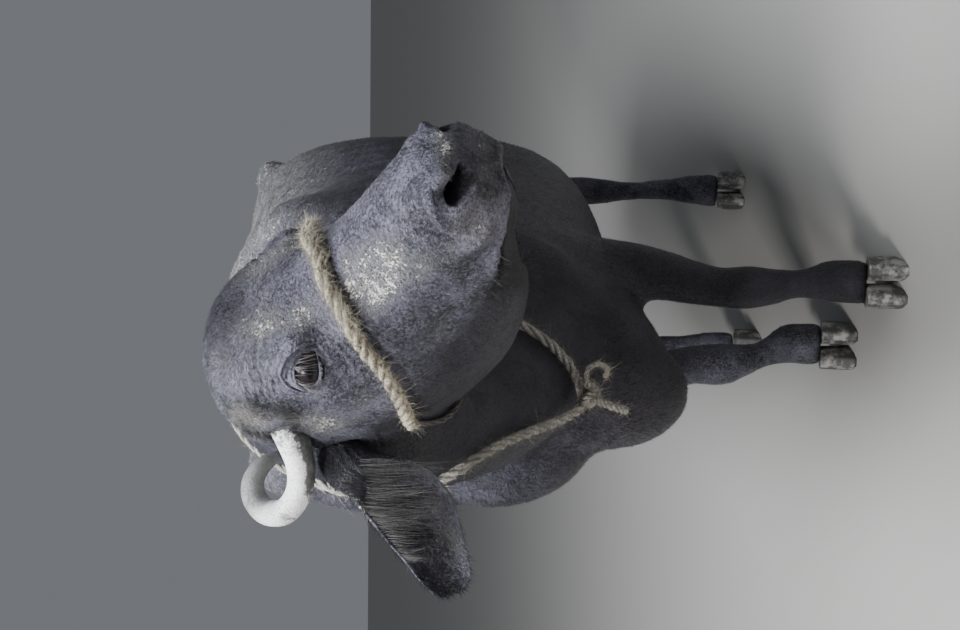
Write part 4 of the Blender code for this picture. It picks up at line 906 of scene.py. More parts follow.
long_hair = hair_material("long_grey_hair", (0.010, 0.010, 0.012), (0.26, 0.25, 0.24), 0.42)
for side, word in ((1, "left"), (-1, "right")):
    paths, across, roots, widths, tones = [], [], [], [], []
    down = HEAD.to_3x3().inverted() @ Vector((0, 0, -1))
    down.normalize()
    down.y *= side
    locks = [(rng.random(), rng.normal(0.02, 0.08), rng.normal(0, 0.05), rng.uniform(0.6, 1.15)) for _ in range(60)]
    for n in range(720):
        spot, lock_sway, lock_curve, lock_long = locks[int(rng.integers(len(locks)))]
        if rng.random() < 0.3:
            spot = rng.random()
        share, inside = fringe_root(min(1.0, max(0.0, spot + rng.normal(0, 0.015))), rng.random() ** 2 * 0.10)
        upper, lower, deep, hollow = ear_rims(side, share)
        ahead = (ear_rims(side, min(1, share + 0.05))[0] - upper).normalized()
        root = upper.lerp(lower, inside) + EAR_BACK * (hollow * max(0.0, 1 - (2 * inside - 1) ** 2) ** 0.8)
        length = (0.034 + 0.085 * smooth_step(spot, 0.05, 0.7)) * lock_long * rng.uniform(0.35, 1.18)
        sway, curve = lock_sway + rng.normal(0, 0.05), lock_curve + rng.normal(0, 0.02)
        points = []
        for step in range(7):
            t = step / 6
            place = root - EAR_BACK * (0.003 + 0.016 * math.sin(min(1.0, t * 1.5) * 1.57) + 0.003 * rng.normal() * t)
            place = place + down * (length * t * (0.86 + 0.14 * t))
            place = place + ahead * (length * (sway * t + curve * math.sin(t * 4)))
            points.append(HEAD @ Vector((place.x, place.y * side, place.z)))
        points[0] = HEAD @ Vector((root.x, root.y * side, root.z))
        paths.append(points)
        wide = (HEAD.to_3x3() @ Vector((ahead.x, ahead.y * side, ahead.z))).normalized()
        across.append(wide)
        roots.append((0.93 + 0.05 * inside + (0.0 if side > 0 else -0.10), 0.05 + 0.9 * share))
        widths.append(rng.uniform(0.00025, 0.0005))
        tones.append((rng.uniform(0.5, 1.0) if rng.random() < 0.12 else 0.20 * rng.random(), 0.2 * rng.random() ** 3, 0.10, 1))
    strands("ear_fringe_" + word, paths, widths, np.array(across), np.array(roots), np.array(tones), long_hair)


# The horns are pale grey keratin curled in a tight loop, with worn growth rings and dry cracks.
# Each grows over a bony core out of the brow, and its tip comes round behind its own root.
HORN_PATH = (
    (0.048, 0.074, -0.054, 0.0262), (0.025, 0.104, -0.085, 0.0216), (0.006, 0.130, -0.106, 0.0186),
    (-0.020, 0.153, -0.116, 0.0172), (-0.049, 0.167, -0.111, 0.0170), (-0.069, 0.162, -0.094, 0.0168),
    (-0.073, 0.143, -0.078, 0.0160), (-0.066, 0.121, -0.073, 0.0146), (-0.055, 0.101, -0.082, 0.0118),
    (-0.043, 0.084, -0.104, 0.0060),
)


def horn_material():
    made = new_material("horn_keratin", (0.6, 0.59, 0.56), 0.5)
    tree = made.node_tree
    shader = tree.nodes["Principled BSDF"]
    place = add(tree, "ShaderNodeTexCoord").outputs["Object"]
    # grime's red part is dirt under the horn and near its root; its green part is painted shade on the outer half of
    # the loop
    painted = add(tree, "ShaderNodeSeparateColor", {"Color": add(tree, "ShaderNodeAttribute", attribute_name="grime").outputs["Color"]})
    under, tip_shade = painted.outputs["Red"], painted.outputs["Green"]
    on_horn = add(tree, "ShaderNodeAttribute", attribute_name="horn").outputs["Vector"]
    fibres = noise(tree, on_horn, 1.0, 6, 0.7, stretch=(16, 22, 16))
    cracks = noise(tree, on_horn, 1.0, 8, 0.75, stretch=(26, 34, 26))
    flakes = spread(tree, noise(tree, place, 95, 8, 0.75), 0.42, 0.58)
    broad = noise(tree, place, 22, 4, 0.6)
    colour = mixed(tree, spread(tree, broad, 0.42, 0.58), (0.78, 0.78, 0.77), (0.95, 0.945, 0.93))
    # painted shade: the outer half of the loop, toward the tip, is darkened
    colour = mixed(tree, tip_shade, colour, mixed(tree, flakes, (0.030, 0.030, 0.031), (0.125, 0.125, 0.124)))
    colour = mixed(tree, spread(tree, fibres, 0.51, 0.60, 0, 0.50), colour, (0.18, 0.175, 0.165))
    colour = mixed(tree, spread(tree, cracks, 0.575, 0.60, 0, 0.9), colour, (0.030, 0.028, 0.025))
    dirt = maths(tree, "ADD", maths(tree, "MULTIPLY", under, 0.85), maths(tree, "MULTIPLY", flakes, 0.40))
    dirt = spread(tree, dirt, 0.40, 0.72, 0, 0.95)
    colour = mixed(tree, dirt, colour, mixed(tree, flakes, (0.014, 0.016, 0.016), (0.10, 0.10, 0.095)))
    tree.links.new(colour, shader.inputs["Base Color"])
    tree.links.new(spread(tree, flakes, 0, 1, 0.42, 0.62), shader.inputs["Roughness"])
    normal = bump(tree, fibres, 0.0009, 0.5)
    normal = bump(tree, spread(tree, cracks, 0.56, 0.62), 0.0008, 0.9, normal)
    normal = bump(tree, maths(tree, "MULTIPLY", dirt, flakes), 0.0010, 0.9, normal)
    tree.links.new(normal, shader.inputs["Normal"])
    return made


horn_finish = horn_material()
for side, word in ((1, "left"), (-1, "right")):
    def horn_point(around, along):
        row = along_rows(HORN_PATH, min(along, 1.0) * 0.995)
        ahead = along_rows(HORN_PATH, min(1.0, along + 0.02)) - along_rows(HORN_PATH, max(0.0, along - 0.02))
        ahead = Vector(ahead[:3]).normalized()
        flat = ahead.cross(Vector((0.62, 0.25, 0.74))).normalized()
        tall = flat.cross(ahead)
        turn = around * math.tau
        worn = 1 - 0.7 * along
        ring = 0.00010 * worn * math.sin(along * 430 + 0.9 * math.sin(turn))
        ridge = 0.00020 * math.sin(turn * 5 + along * 7) * worn
        end = 1.0 if along < 0.97 else math.sqrt(max(0.0, 1 - ((along - 0.97) / 0.03) ** 2))
        radius = (row[3] + ring + ridge) * end if along > 0 else 0.0
        place = Vector(row[:3]) + (flat * math.cos(turn) * 1.03 + tall * math.sin(turn) * 0.97) * radius
        return HEAD @ Vector((place.x, place.y * side, place.z))

    bm = bent_sheet(64, 260, horn_point)
    horn = new_object("curled_horn_" + word, bm)
    line = np.array([along_rows(HORN_PATH, share) for share in np.linspace(0, 1, 200)])[:, :3] * (1, side, 1)
    at = to_head(read_points(horn))
    nearest = np.linalg.norm(at[:, None] - line[None], axis=2).argmin(axis=1)
    out = at - line[nearest]
    out /= np.linalg.norm(out, axis=1)[:, None] + 1e-9
    along = nearest / 199
    drop = read_points(horn, "normal")[:, 2]
    under = 0.9 * smooth_step(-drop, -0.05, 0.75) * (1 - smooth_step(along, 0.26, 0.40))
    under += 0.15 * smooth_step(along, 0.50, 0.66) + 0.30 * np.exp(-(((along - 0.43) / 0.03) ** 2))
    under += 0.30 * (1 - smooth_step(along, 0.08, 0.20))
    paint(horn, np.column_stack([out[:, 0], along * 5, out[:, 2] + out[:, 1] * side, np.ones(len(out))]), "horn")
    # painted shade on the outer half of the loop, toward the tip
    tip_shade = 0.85 * smooth_step(along, 0.50, 0.64)
    paint(horn, np.column_stack([np.clip(under, 0, 1), tip_shade, tip_shade * 0, tip_shade * 0 + 1]), "grime")
    horn.data.materials.append(horn_finish)
    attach(horn, "root")
    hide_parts("horn_" + word)


# Two claws of dark worn horn on each foot, with two small dew claws higher up behind.
# They are drawn over the claws' own forms, rounded at the edges, and grooved round like the real ones.
claw_finish = new_material("claw_horn", (0.07, 0.066, 0.060), 0.5)
tree = claw_finish.node_tree
shader = tree.nodes["Principled BSDF"]
place = add(tree, "ShaderNodeTexCoord").outputs["Object"]
grooves = noise(tree, place, 1.0, 4, 0.6, stretch=(6, 6, 110))
upright = noise(tree, place, 1.0, 5, 0.7, stretch=(170, 170, 22))
scuffs = noise(tree, place, 26, 6, 0.7)
colour = mixed(tree, spread(tree, grooves, 0.3, 0.7), (0.050, 0.050, 0.050), (0.090, 0.086, 0.080))
colour = mixed(tree, spread(tree, upright, 0.55, 0.75, 0, 0.5), colour, (0.20, 0.19, 0.175))
colour = mixed(tree, spread(tree, scuffs, 0.47, 0.60, 0, 0.85), colour, (0.42, 0.41, 0.39))
tree.links.new(colour, shader.inputs["Base Color"])
normal = bump(tree, grooves, 0.0008, 0.5)
normal = bump(tree, upright, 0.0006, 0.6, normal)
normal = bump(tree, scuffs, 0.0014, 0.6, normal)
tree.links.new(normal, shader.inputs["Normal"])

for foot in ("front_left", "front_right", "hind_left", "hind_right"):
    for half in ("left", "right"):
        for kind, voxel, passes, slot in (("claw", 0.0022, 7, "claw"), ("dewclaw", 0.0015, 5, "dewclaw")):
            node = f"{kind}_{foot}_{half}"
            bm = flesh([node], 0.0)
            bm = drawn_over(bm, voxel, passes)
            if kind == "claw":
                for vert in bm.verts:
                    wave = math.sin(vert.co.z * 400 + 12 * vert.co.y) * 0.00018
                    vert.co += vert.normal * wave
            made = new_object(f"horny_{node}", bm)
            made.data.materials.append(claw_finish)
            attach(made, "root")
            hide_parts(node)


# A thick jute noseband lies over the bridge of the nose and round behind the jaw.
# A thinner rope hangs round the neck to a knot below the throat. Both are three strands, twisted.
NOSEBAND_RADIUS, COLLAR_RADIUS = 0.0105, 0.0085
blades = bmesh.new()
blades.from_mesh(skin.data)
for name in ("ear_blade_left", "ear_blade_right"):
    blades.from_mesh(bpy.data.objects[name].data)
flesh_tree = BVHTree.FromBMesh(blades)
blades.free()


def push_out(point, clear):
    spot, normal, _, _ = flesh_tree.find_nearest(point)
    away = point - spot
    if away.dot(normal) < 0:
        return spot + normal * clear
    return point if away.length >= clear else spot + away.normalized() * clear


def settle(path, clear, pull, rounds):
    """Draws the rope tight, and keeps it clear of the skin."""
    count = len(path)
    for _ in range(rounds):
        path = [point.lerp((path[n - 1] + path[(n + 1) % count]) / 2, pull) for n, point in enumerate(path)]
        path = [push_out(point, clear) for point in path]
    return path


def evenly(path, spacing):
    """Points a fixed step apart round a closed path."""
    lengths = [0.0]
    for n, point in enumerate(path):
        lengths.append(lengths[-1] + (path[(n + 1) % len(path)] - point).length)
    count = int(lengths[-1] / spacing)
    made = []
    for n in range(count):
        want = lengths[-1] * n / count
        k = max(i for i, length in enumerate(lengths) if length <= want + 1e-9)
        k = min(k, len(path) - 1)
        share = (want - lengths[k]) / max(lengths[k + 1] - lengths[k], 1e-9)
        made.append(path[k].lerp(path[(k + 1) % len(path)], share))
    return made


def laid_rope(points, radius, pull, rounds):
    count = len(points)
    fine = []
    for n in range(count):
        a, b, c, d = (Vector(points[(n + k) % count]) for k in (-1, 0, 1, 2))
        for t in (0, 0.2, 0.4, 0.6, 0.8):
            fine.append(0.5 * (2 * b + (c - a) * t + (2 * a - 5 * b + 4 * c - d) * t**2 + (3 * b - 3 * c + d - a) * t**3))
    path = settle(fine, radius + 0.0010, pull, rounds)
    path = evenly(path, radius)
    return settle(path, radius + 0.0012, 0.2, 10)


def rope_frames(path, closed=True):
    """The way along, the way off the skin and the way across at each point of a path."""
    count = len(path)
    frames = []
    for n, point in enumerate(path):
        after = path[(n + 1) % count] if closed else path[min(n + 1, count - 1)]
        before = path[n - 1] if closed else path[max(n - 1, 0)]
        ahead = (after - before).normalized()
        spot, normal, _, _ = flesh_tree.find_nearest(point)
        off = point - spot
        off = (off - ahead * off.dot(ahead)).normalized()
        frames.append((ahead, off, ahead.cross(off)))
    return frames


def rope_strands(path, frames, radius, closed=True, lay=7.5):
    """Three twisted strands, each a tube of its own, as one mesh."""
    joined = bmesh.new()
    count = len(path)
    turns = max(1, round(count * radius / (lay * radius)))
    for strand in range(3):
        lumps = rng.normal(size=count + 1) * 0.09
        lumps[-1] = lumps[0]

        def place_at(around, along):
            spot = along * (count if closed else count - 1)
            k = int(spot) % count
            m = (k + 1) % count if closed else min(k + 1, count - 1)
            t = spot - int(spot)
            centre = path[k].lerp(path[m], t)
            off = frames[k][1].lerp(frames[m][1], t).normalized()
            ahead = frames[k][0].lerp(frames[m][0], t).normalized()
            side = ahead.cross(off).normalized()
            off = side.cross(ahead)
            twist = along * math.tau * turns + strand * math.tau / 3 + 0.35 * math.sin(spot * 0.31) + 0.2 * math.sin(spot * 0.83)
            turn = around * math.tau - twist * 2.2
            thick = radius * 0.515 * (1 + lumps[k] * (1 - t) + lumps[m] * t)
            centre = centre + (off * math.cos(twist) + side * math.sin(twist)) * (radius * 0.50)
            return centre + (off * math.cos(turn) + side * math.sin(turn)) * thick

        bm = bent_sheet(14, count * 3, place_at)
        part = bpy.data.meshes.new("strand")
        bm.to_mesh(part)
        bm.free()
        joined.from_mesh(part)
    return joined


def rope_material(name, pale, dark, dirt):
    made = new_material(name, pale, 0.85)
    tree = made.node_tree
    shader = tree.nodes["Principled BSDF"]
    place = add(tree, "ShaderNodeTexCoord").outputs["Object"]
    painted = add(tree, "ShaderNodeAttribute", attribute_name="yarn").outputs["Vector"]
    yarn = noise(tree, painted, 1.0, 5, 0.75, stretch=(9, 260, 1))
    speckle = noise(tree, place, 260, 6, 0.7)
    grime = noise(tree, place, 19, 6, 0.65)
    colour = mixed(tree, spread(tree, yarn, 0.45, 0.54), dark, pale)
    colour = mixed(tree, spread(tree, speckle, 0.51, 0.60, 0, 0.5), colour, tuple(c * 1.25 for c in pale))
    colour = mixed(tree, spread(tree, speckle, 0.47, 0.40, 0, 0.7), colour, dark)
    colour = mixed(tree, spread(tree, grime, 0.50, 0.58, 0, 0.6), colour, dirt)
    tree.links.new(colour, shader.inputs["Base Color"])
    normal = bump(tree, yarn, 0.0016, 0.9)
    normal = bump(tree, speckle, 0.0007, 0.7, normal)
    tree.links.new(normal, shader.inputs["Normal"])
    shader.inputs["Specular IOR Level"].default_value = 0.25
    return made


def fuzz(name, path, frames, radius, count, finish, longest, thick=None):
    """Loose jute fibres that stand off a rope."""
    paths, across, roots, widths, tones = [], [], [], [], []
    for n in range(count):
        k = int(rng.integers(len(path)))
        if thick is not None and rng.random() > thick[k]:
            continue
        ahead, off, side = frames[k]
        turn = rng.uniform(0, math.tau)
        outward = off * math.cos(turn) + side * math.sin(turn)
        if outward.dot(off) < -0.5:
            continue
        start = path[k] + ahead * rng.uniform(-radius, radius) / 2 + outward * radius * 0.86
        length = longest * rng.uniform(0.25, 1.0) ** 1.6
        lie = ahead * rng.choice((-1, 1)) * rng.uniform(0.5, 1.4) + outward * rng.uniform(0.15, 0.75)
        lie += Vector(rng.normal(size=3)) * 0.35
        curl = Vector(rng.normal(size=3)) * 0.8 + Vector((0, 0, -0.35))
        points = [start + (lie * t + curl * t * t) * length * 0.6 for t in (0, 0.35, 0.7, 1.0)]
        paths.append(points)
        across.append(lie.cross(Vector((0.3, -0.9, 0.2))).normalized())
        roots.append((0.02 + 0.9 * k / len(path), 0.5 + 0.4 * turn / math.tau))
        widths.append(rng.uniform(0.0002, 0.00045))
        tones.append((rng.random(), 0.2, 0, 1))
    return strands(name, paths, widths, np.array(across), np.array(roots), np.array(tones), finish)


def yarn_map(obj, path, radius):
    """Paints round and along every rope point, for the yarn's lines."""
    points = read_points(obj)
    centres = np.array([tuple(p) for p in path])
    values = np.zeros((len(points), 4))
    for start in range(0, len(points), 4000):
        block = points[start:start + 4000]
        away = ((block[:, None] - centres[None]) ** 2).sum(axis=2)
        values[start:start + 4000, 0] = away.argmin(axis=1) / len(path) * 30
        values[start:start + 4000, 1] = np.sqrt(away.min(axis=1)) / radius * 0.2
    values[:, 3] = 1
    paint(obj, values, "yarn")


jute = rope_material("pale_jute", (0.54, 0.485, 0.37), (0.075, 0.060, 0.042), (0.17, 0.15, 0.115))
old_jute = rope_material("old_jute", (0.50, 0.475, 0.43), (0.13, 0.12, 0.10), (0.20, 0.19, 0.17))
# the cord behind the jaw gets a darkened copy of the rope finish: painted shade
shaded_cord = rope_material("shaded_cord", (0.16, 0.15, 0.135), (0.045, 0.04, 0.035), (0.08, 0.075, 0.065))
jute_fibre = hair_material("jute_fibre", (0.13, 0.105, 0.070), (0.72, 0.65, 0.49), 0.7)
near_side = [
    (0.276, -0.012, 0.0235), (0.275, -0.032, 0.0170), (0.272, -0.050, 0.0080), (0.267, -0.077, -0.0100), (0.258, -0.094, -0.0350),
    (0.244, -0.108, -0.0660), (0.218, -0.113, -0.1080), (0.184, -0.114, -0.1480), (0.145, -0.112, -0.1860), (0.110, -0.106, -0.2180),
    (0.092, -0.090, -0.2560), (0.082, -0.050, -0.3050), (0.080, 0.0, -0.3250),
]
far_side = [
    (0.082, 0.050, -0.3050), (0.090, 0.090, -0.2560), (0.100, 0.106, -0.2180), (0.115, 0.112, -0.1800), (0.132, 0.112, -0.1380),
    (0.155, 0.108, -0.0980), (0.182, 0.098, -0.0580), (0.210, 0.076, -0.0200), (0.240, 0.048, 0.0060), (0.262, 0.020, 0.0200),
]


def laid_on(point, clear):
    spot, normal, _, _ = flesh_tree.find_nearest(point)
    return spot + normal * clear


loop = [laid_on(HEAD @ Vector(p), NOSEBAND_RADIUS * 0.8) for p in near_side + far_side]
path = laid_rope(loop, NOSEBAND_RADIUS * 0.72, 0.05, 6)
heights = [(HEAD.inverted() @ point).z for point in path]
lowest = heights.index(min(heights))
path = path[lowest:] + path[:lowest]
heights = heights[lowest:] + heights[:lowest]
thick = [n for n, height in enumerate(heights) if height > -0.215]
arc = path[thick[0]:thick[-1] + 1]
frames = rope_frames(arc, closed=False)
noseband = new_object("noseband", rope_strands(arc, frames, NOSEBAND_RADIUS * 0.84, closed=False))
yarn_map(noseband, arc, NOSEBAND_RADIUS)
noseband.data.materials.append(jute)
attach(noseband, "root")
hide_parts("rope_noseband")
in_bridge = [1.0 if (HEAD.inverted() @ p).z > -0.050 else 0.25 for p in arc]
fuzz("noseband_fuzz", arc, frames, NOSEBAND_RADIUS * 0.84, 20000, jute_fibre, 0.017, in_bridge)
ends = [1.0 if n < 2 or n > len(arc) - 3 else 0.0 for n in range(len(arc))]
fuzz("frayed_ends", arc, frames, NOSEBAND_RADIUS * 0.80, 2600, jute_fibre, 0.015, ends)

CORD_RADIUS = 0.0040
cord = [path[n % len(path)] for n in range(thick[-1] - 1, thick[0] + 2 + len(path))]
cord = [push_out(point.lerp(flesh_tree.find_nearest(point)[0], 0.5), CORD_RADIUS + 0.0006) for point in cord]
frames = rope_frames(cord, closed=False)
jaw_cord = new_object("jaw_cord", rope_strands(cord, frames, CORD_RADIUS, closed=False))
yarn_map(jaw_cord, cord, CORD_RADIUS)
# painted shade: the cord behind the jaw is darkened
jaw_cord.data.materials.append(shaded_cord)
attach(jaw_cord, "root")

collar_loop = [
    (-0.073, -0.800, 0.655), (-0.083, -0.930, 0.790), (-0.105, -1.020, 0.890), (-0.150, -0.960, 1.000),
    (-0.140, -0.850, 1.100), (-0.040, -0.780, 1.180), (0.060, -0.760, 1.120), (0.100, -0.760, 1.000),
    (0.085, -0.810, 0.880), (0.028, -0.810, 0.775),
]
path = laid_rope([BODY + Vector(p) for p in collar_loop], COLLAR_RADIUS, 0.12, 25)
frames = rope_frames(path)
collar = new_object("neck_rope", rope_strands(path, frames, COLLAR_RADIUS * 0.88))
yarn_map(collar, path, COLLAR_RADIUS)
collar.data.materials.append(old_jute)
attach(collar, "root")
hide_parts("rope_collar")
fuzz("neck_rope_fuzz", path, frames, COLLAR_RADIUS * 0.88, 6000, jute_fibre, 0.017)

# the knot under the throat: two crossing turns round the rope, one loop and one short loose end
low_point = min(range(len(path)), key=lambda n: path[n].z)
knot_ahead, knot_off, knot_side = frames[low_point]
knot_at = path[low_point] + knot_off * 0.006


def loose_rope(name, points, radius):
    """A short length of rope through the given places."""
    line = []
    for n in range(len(points) - 1):
        a, b = points[max(n - 1, 0)], points[n]
        c, d = points[n + 1], points[min(n + 2, len(points) - 1)]
        for t in (0, 0.17, 0.34, 0.5, 0.67, 0.84):
            line.append(0.5 * (2 * b + (c - a) * t + (2 * a - 5 * b + 4 * c - d) * t**2 + (3 * b - 3 * c + d - a) * t**3))
    line.append(points[-1])
    held = rope_frames(line, closed=False)
    made = new_object(name, rope_strands(line, held, radius, closed=False))
    yarn_map(made, line, radius)
    made.data.materials.append(old_jute)
    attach(made, "root")
    fuzz(name + "_fuzz", line, held, radius, 500, jute_fibre, 0.016)


def by_knot(ahead, off, side):
    return knot_at + knot_ahead * ahead + knot_off * off + knot_side * side


turn_one = [(-0.014, -0.004, -0.012), (-0.010, 0.010, -0.004), (0.0, 0.014, 0.006), (0.010, 0.006, 0.014), (0.016, -0.004, 0.010)]
turn_two = [(0.014, -0.002, -0.014), (0.009, 0.013, -0.004), (0.0, 0.017, 0.002), (-0.010, 0.010, 0.009), (-0.016, -0.002, 0.014)]
loose_rope("knot_turn_a", [by_knot(*p) for p in turn_one], 0.0072)
loose_rope("knot_turn_b", [by_knot(*p) for p in turn_two], 0.0072)
hang = Vector((0, 0, -1))
loose_rope("loose_end_a", [by_knot(0.008, 0.008, 0.008) + hang * z + Vector((x, y, 0)) for x, y, z in (
    (0, 0, 0), (-0.004, -0.008, 0.012), (-0.012, -0.012, 0.034), (-0.020, -0.010, 0.058))], 0.0062)
loose_rope("loose_loop", [by_knot(-0.006, 0.008, 0.0) + Vector(p) for p in (
    (0, 0, 0), (0.016, -0.008, 0.008), (0.034, -0.010, 0.006), (0.042, -0.010, -0.010), (0.034, -0.008, -0.024), (0.020, -0.004, -0.022))], 0.0042)


# The coat is short, sparse grey hair over the dark hide, thicker on brow, poll and throat.
# It lies back and down over the body and down the legs, and it is finest round the muzzle.
def ground_of(obj):
    """The triangles a coat can grow on: corners' places and normals, areas, middles."""
    obj.data.calc_loop_triangles()
    points, normals = read_points(obj), read_points(obj, "normal")
    corners = np.empty(len(obj.data.loop_triangles) * 3, dtype=np.int32)
    obj.data.loop_triangles.foreach_get("vertices", corners)
    corners = corners.reshape(-1, 3)
    tri = points[corners]
    areas = np.linalg.norm(np.cross(tri[:, 1] - tri[:, 0], tri[:, 2] - tri[:, 0]), axis=1) / 2
    middles = tri.mean(axis=1)
    return tri, normals[corners], areas, middles, to_head(middles)


def gap_to(head, place):
    """How far each point is from a place on either side of the head."""
    sided = np.column_stack([head[:, 0], np.abs(head[:, 1]), head[:, 2]])
    return np.linalg.norm(sided - np.array(place), axis=1)


skin_ground = ground_of(skin)
SHOULDER = np.array(BODY) + np.array((0, -0.45, 0.9))


def in_region(points, head, region):
    """How much of a region's hair grows at each point."""
    on_face = smooth_step(head[:, 0], -0.06, 0.02)
    low = smooth_step(0.62 - points[:, 2], 0, 0.1)
    if region == "face":
        return on_face * (0.35 + 0.65 * smooth_step(0.44 - head[:, 0], 0, 0.08))
    if region == "brow":
        return on_face * smooth_step(head[:, 2], -0.06, 0.02) * smooth_step(0.26 - head[:, 0], 0, 0.12)
    if region == "neck":
        return (1 - on_face) * smooth_step(SHOULDER[1] - points[:, 1], -0.10, 0.15)
    if region == "legs":
        return low * (1 - on_face) * smooth_step(points[:, 2], 0.05, 0.09)
    return (1 - on_face) * (1 - low) * smooth_step(points[:, 1] - SHOULDER[1], -0.15, 0.10)


def turned(ways, normals, turn):
    """Each way turned round its normal, and kept along the skin."""
    ways = ways - normals * (ways * normals).sum(axis=1)[:, None]
    ways /= np.linalg.norm(ways, axis=1)[:, None] + 1e-9
    return ways * np.cos(turn)[:, None] + np.cross(normals, ways) * np.sin(turn)[:, None]


def lie(points, normals, head):
    """Which way the hair lies at each point."""
    to_row = np.array(HEAD.to_3x3()) / HEAD_SCALE
    back_down = np.tile(np.array((0.0, 0.85, -0.62)), (len(points), 1))
    legs_down = np.tile(np.array((0.0, 0.12, -1.0)), (len(points), 1))
    low = smooth_step(0.66 - points[:, 2], 0, 0.14)[:, None]
    body = back_down * (1 - low) + legs_down * low
    whorl = np.array((0.155, 0.0, 0.045))
    from_whorl = head - whorl
    swirl = np.cross(np.tile((0.0, 0.0, 1.0), (len(head), 1)), from_whorl) * np.sign(head[:, 1:2] + 1e-6)
    fan = from_whorl + swirl * 0.55
    fan /= np.linalg.norm(fan, axis=1)[:, None]
    downward = np.column_stack([np.full(len(head), 0.10), np.sign(head[:, 1]) * 0.55, np.full(len(head), -0.80)])
    brow = (smooth_step(head[:, 2], -0.055, 0.01) * smooth_step(0.27 - head[:, 0], 0, 0.07))[:, None]
    face = (fan * brow + downward * (1 - brow)) @ to_row.T
    on_face = smooth_step(head[:, 0], -0.08, 0.04)[:, None]
    way = face * on_face + body * (1 - on_face)
    way /= np.linalg.norm(way, axis=1)[:, None]
    eye_x, eye_z = head[:, 0] - EYE_IN_HEAD[0], head[:, 2] - EYE_IN_HEAD[2]
    ring = np.column_stack([-eye_z, np.zeros(len(head)), eye_x])
    ring /= np.linalg.norm(ring, axis=1)[:, None] + 1e-9
    near_eye = np.exp(-(((np.hypot(eye_x, eye_z) - 0.055) / 0.030) ** 2)) * smooth_step(np.abs(head[:, 1]), 0.045, 0.075)
    way = way * (1 - near_eye)[:, None] + (ring @ to_row.T) * near_eye[:, None]
    on_muzzle = smooth_step(head[:, 0], 0.38, 0.43)[:, None]
    way = way * (1 - on_muzzle) - np.array(HEAD.to_3x3())[:, 0] / HEAD_SCALE * on_muzzle
    wander = 0.35 * np.sin(points @ np.array((31, 23, 37)) + 1.2 * np.sin(points @ np.array((-17, 29, 13))))
    return turned(way, normals, wander)


def unwrap(points, head):
    """Where each root lies on the hide laid flat: head, trunk and legs side by side."""
    around_head = np.arctan2(head[:, 1], -(head[:, 2] + 0.12)) / math.tau + 0.5
    body = points - np.array(BODY)
    around_body = np.arctan2(body[:, 0], body[:, 2] - 0.85) / math.tau + 0.5
    on_face = head[:, 0] > -0.02
    u = np.where(on_face, 0.03 + 0.80 * (head[:, 0] + 0.02), 0.46 + 0.20 * (points[:, 1] - points[:, 1].min()))
    return np.column_stack([u, 0.02 + 0.96 * np.where(on_face, around_head, around_body)])


def coat(name, ground, growing, per_metre, length, width, lift, steps, tones_to, finish, stray=0.3, ways_at=lie):
    """One piece of the coat, rooted at random where it grows."""
    tri, normals, areas, middles, head = ground
    weight = areas * growing
    count = int(weight.sum() * per_metre)
    pick = rng.choice(len(areas), size=count, p=weight / weight.sum())
    a, b = rng.random(count), rng.random(count)
    flip = a + b > 1
    a[flip], b[flip] = 1 - a[flip], 1 - b[flip]
    shares = np.column_stack([1 - a - b, a, b])[:, :, None]
    roots = (tri[pick] * shares).sum(axis=1)
    normals = (normals[pick] * shares).sum(axis=1)
    normals /= np.linalg.norm(normals, axis=1)[:, None]
    head = to_head(roots)
    ways = turned(ways_at(roots, normals, head), normals, rng.normal(0, stray, count))
    lengths = rng.uniform(length[0], length[1], count)
    lifts = np.clip(rng.normal(lift, lift * 0.45, count), 0.02, 1.4)
    curls = rng.normal(0, 0.22, count)
    sideways = np.cross(normals, ways)
    paths = np.empty((count, steps, 3))
    for step in range(steps):
        t = step / (steps - 1)
        forward = ways * np.cos(lifts)[:, None] * t + sideways * (curls * t * t)[:, None]
        rise = normals * (np.sin(lifts) * (t - 0.45 * t * t))[:, None]
        paths[:, step] = roots + (forward + rise) * lengths[:, None] - normals * 0.0006 * (1 - t)
    painted = marks(roots)
    tones = np.zeros((count, 4))
    tones[:, 0] = tones_to * np.where(rng.random(count) < 0.12, rng.uniform(0.4, 1.0, count), rng.uniform(0, 0.16, count))
    tones[:, 1] = np.clip(painted[:, 0] * 1.3 - 0.35, 0, 0.9) * rng.random(count)
    # the hair carries the hide's painted shade
    tones[:, 2] = np.clip(painted[:, 3] * 1.1, 0, 0.85)
    tones[:, 3] = 1
    widths = rng.uniform(width[0], width[1], count)
    return strands(name, paths, widths, sideways, unwrap(roots, head), tones, finish)


def growing(region):
    middles, head = skin_ground[3], skin_ground[4]
    return in_region(middles, head, region) * (gap_to(head, EYE_IN_HEAD) > 0.036)


short_hair = hair_material("short_grey_hair", (0.018, 0.018, 0.025), (0.44, 0.44, 0.50), 0.40)
for word, side in (("left", 1), ("right", -1)):
    half = growing("face") * (skin_ground[4][:, 1] * side > 0)
    coat("coat_face_" + word, skin_ground, half, 100000, (0.004, 0.008), (0.0004, 0.0008), 0.24, 3, 1.0, short_hair)
coat("coat_brow", skin_ground, growing("brow"), 95000, (0.008, 0.016), (0.0004, 0.0008), 0.22, 4, 0.7, short_hair, 0.30)
coat("coat_neck", skin_ground, growing("neck"), 41000, (0.009, 0.018), (0.0006, 0.0010), 0.22, 4, 0.9, short_hair)
coat("coat_trunk", skin_ground, growing("trunk"), 15000, (0.012, 0.024), (0.0009, 0.0016), 0.20, 3, 0.8, short_hair)
coat("coat_legs", skin_ground, growing("legs"), 32000, (0.008, 0.015), (0.0007, 0.0012), 0.22, 3, 0.8, short_hair)

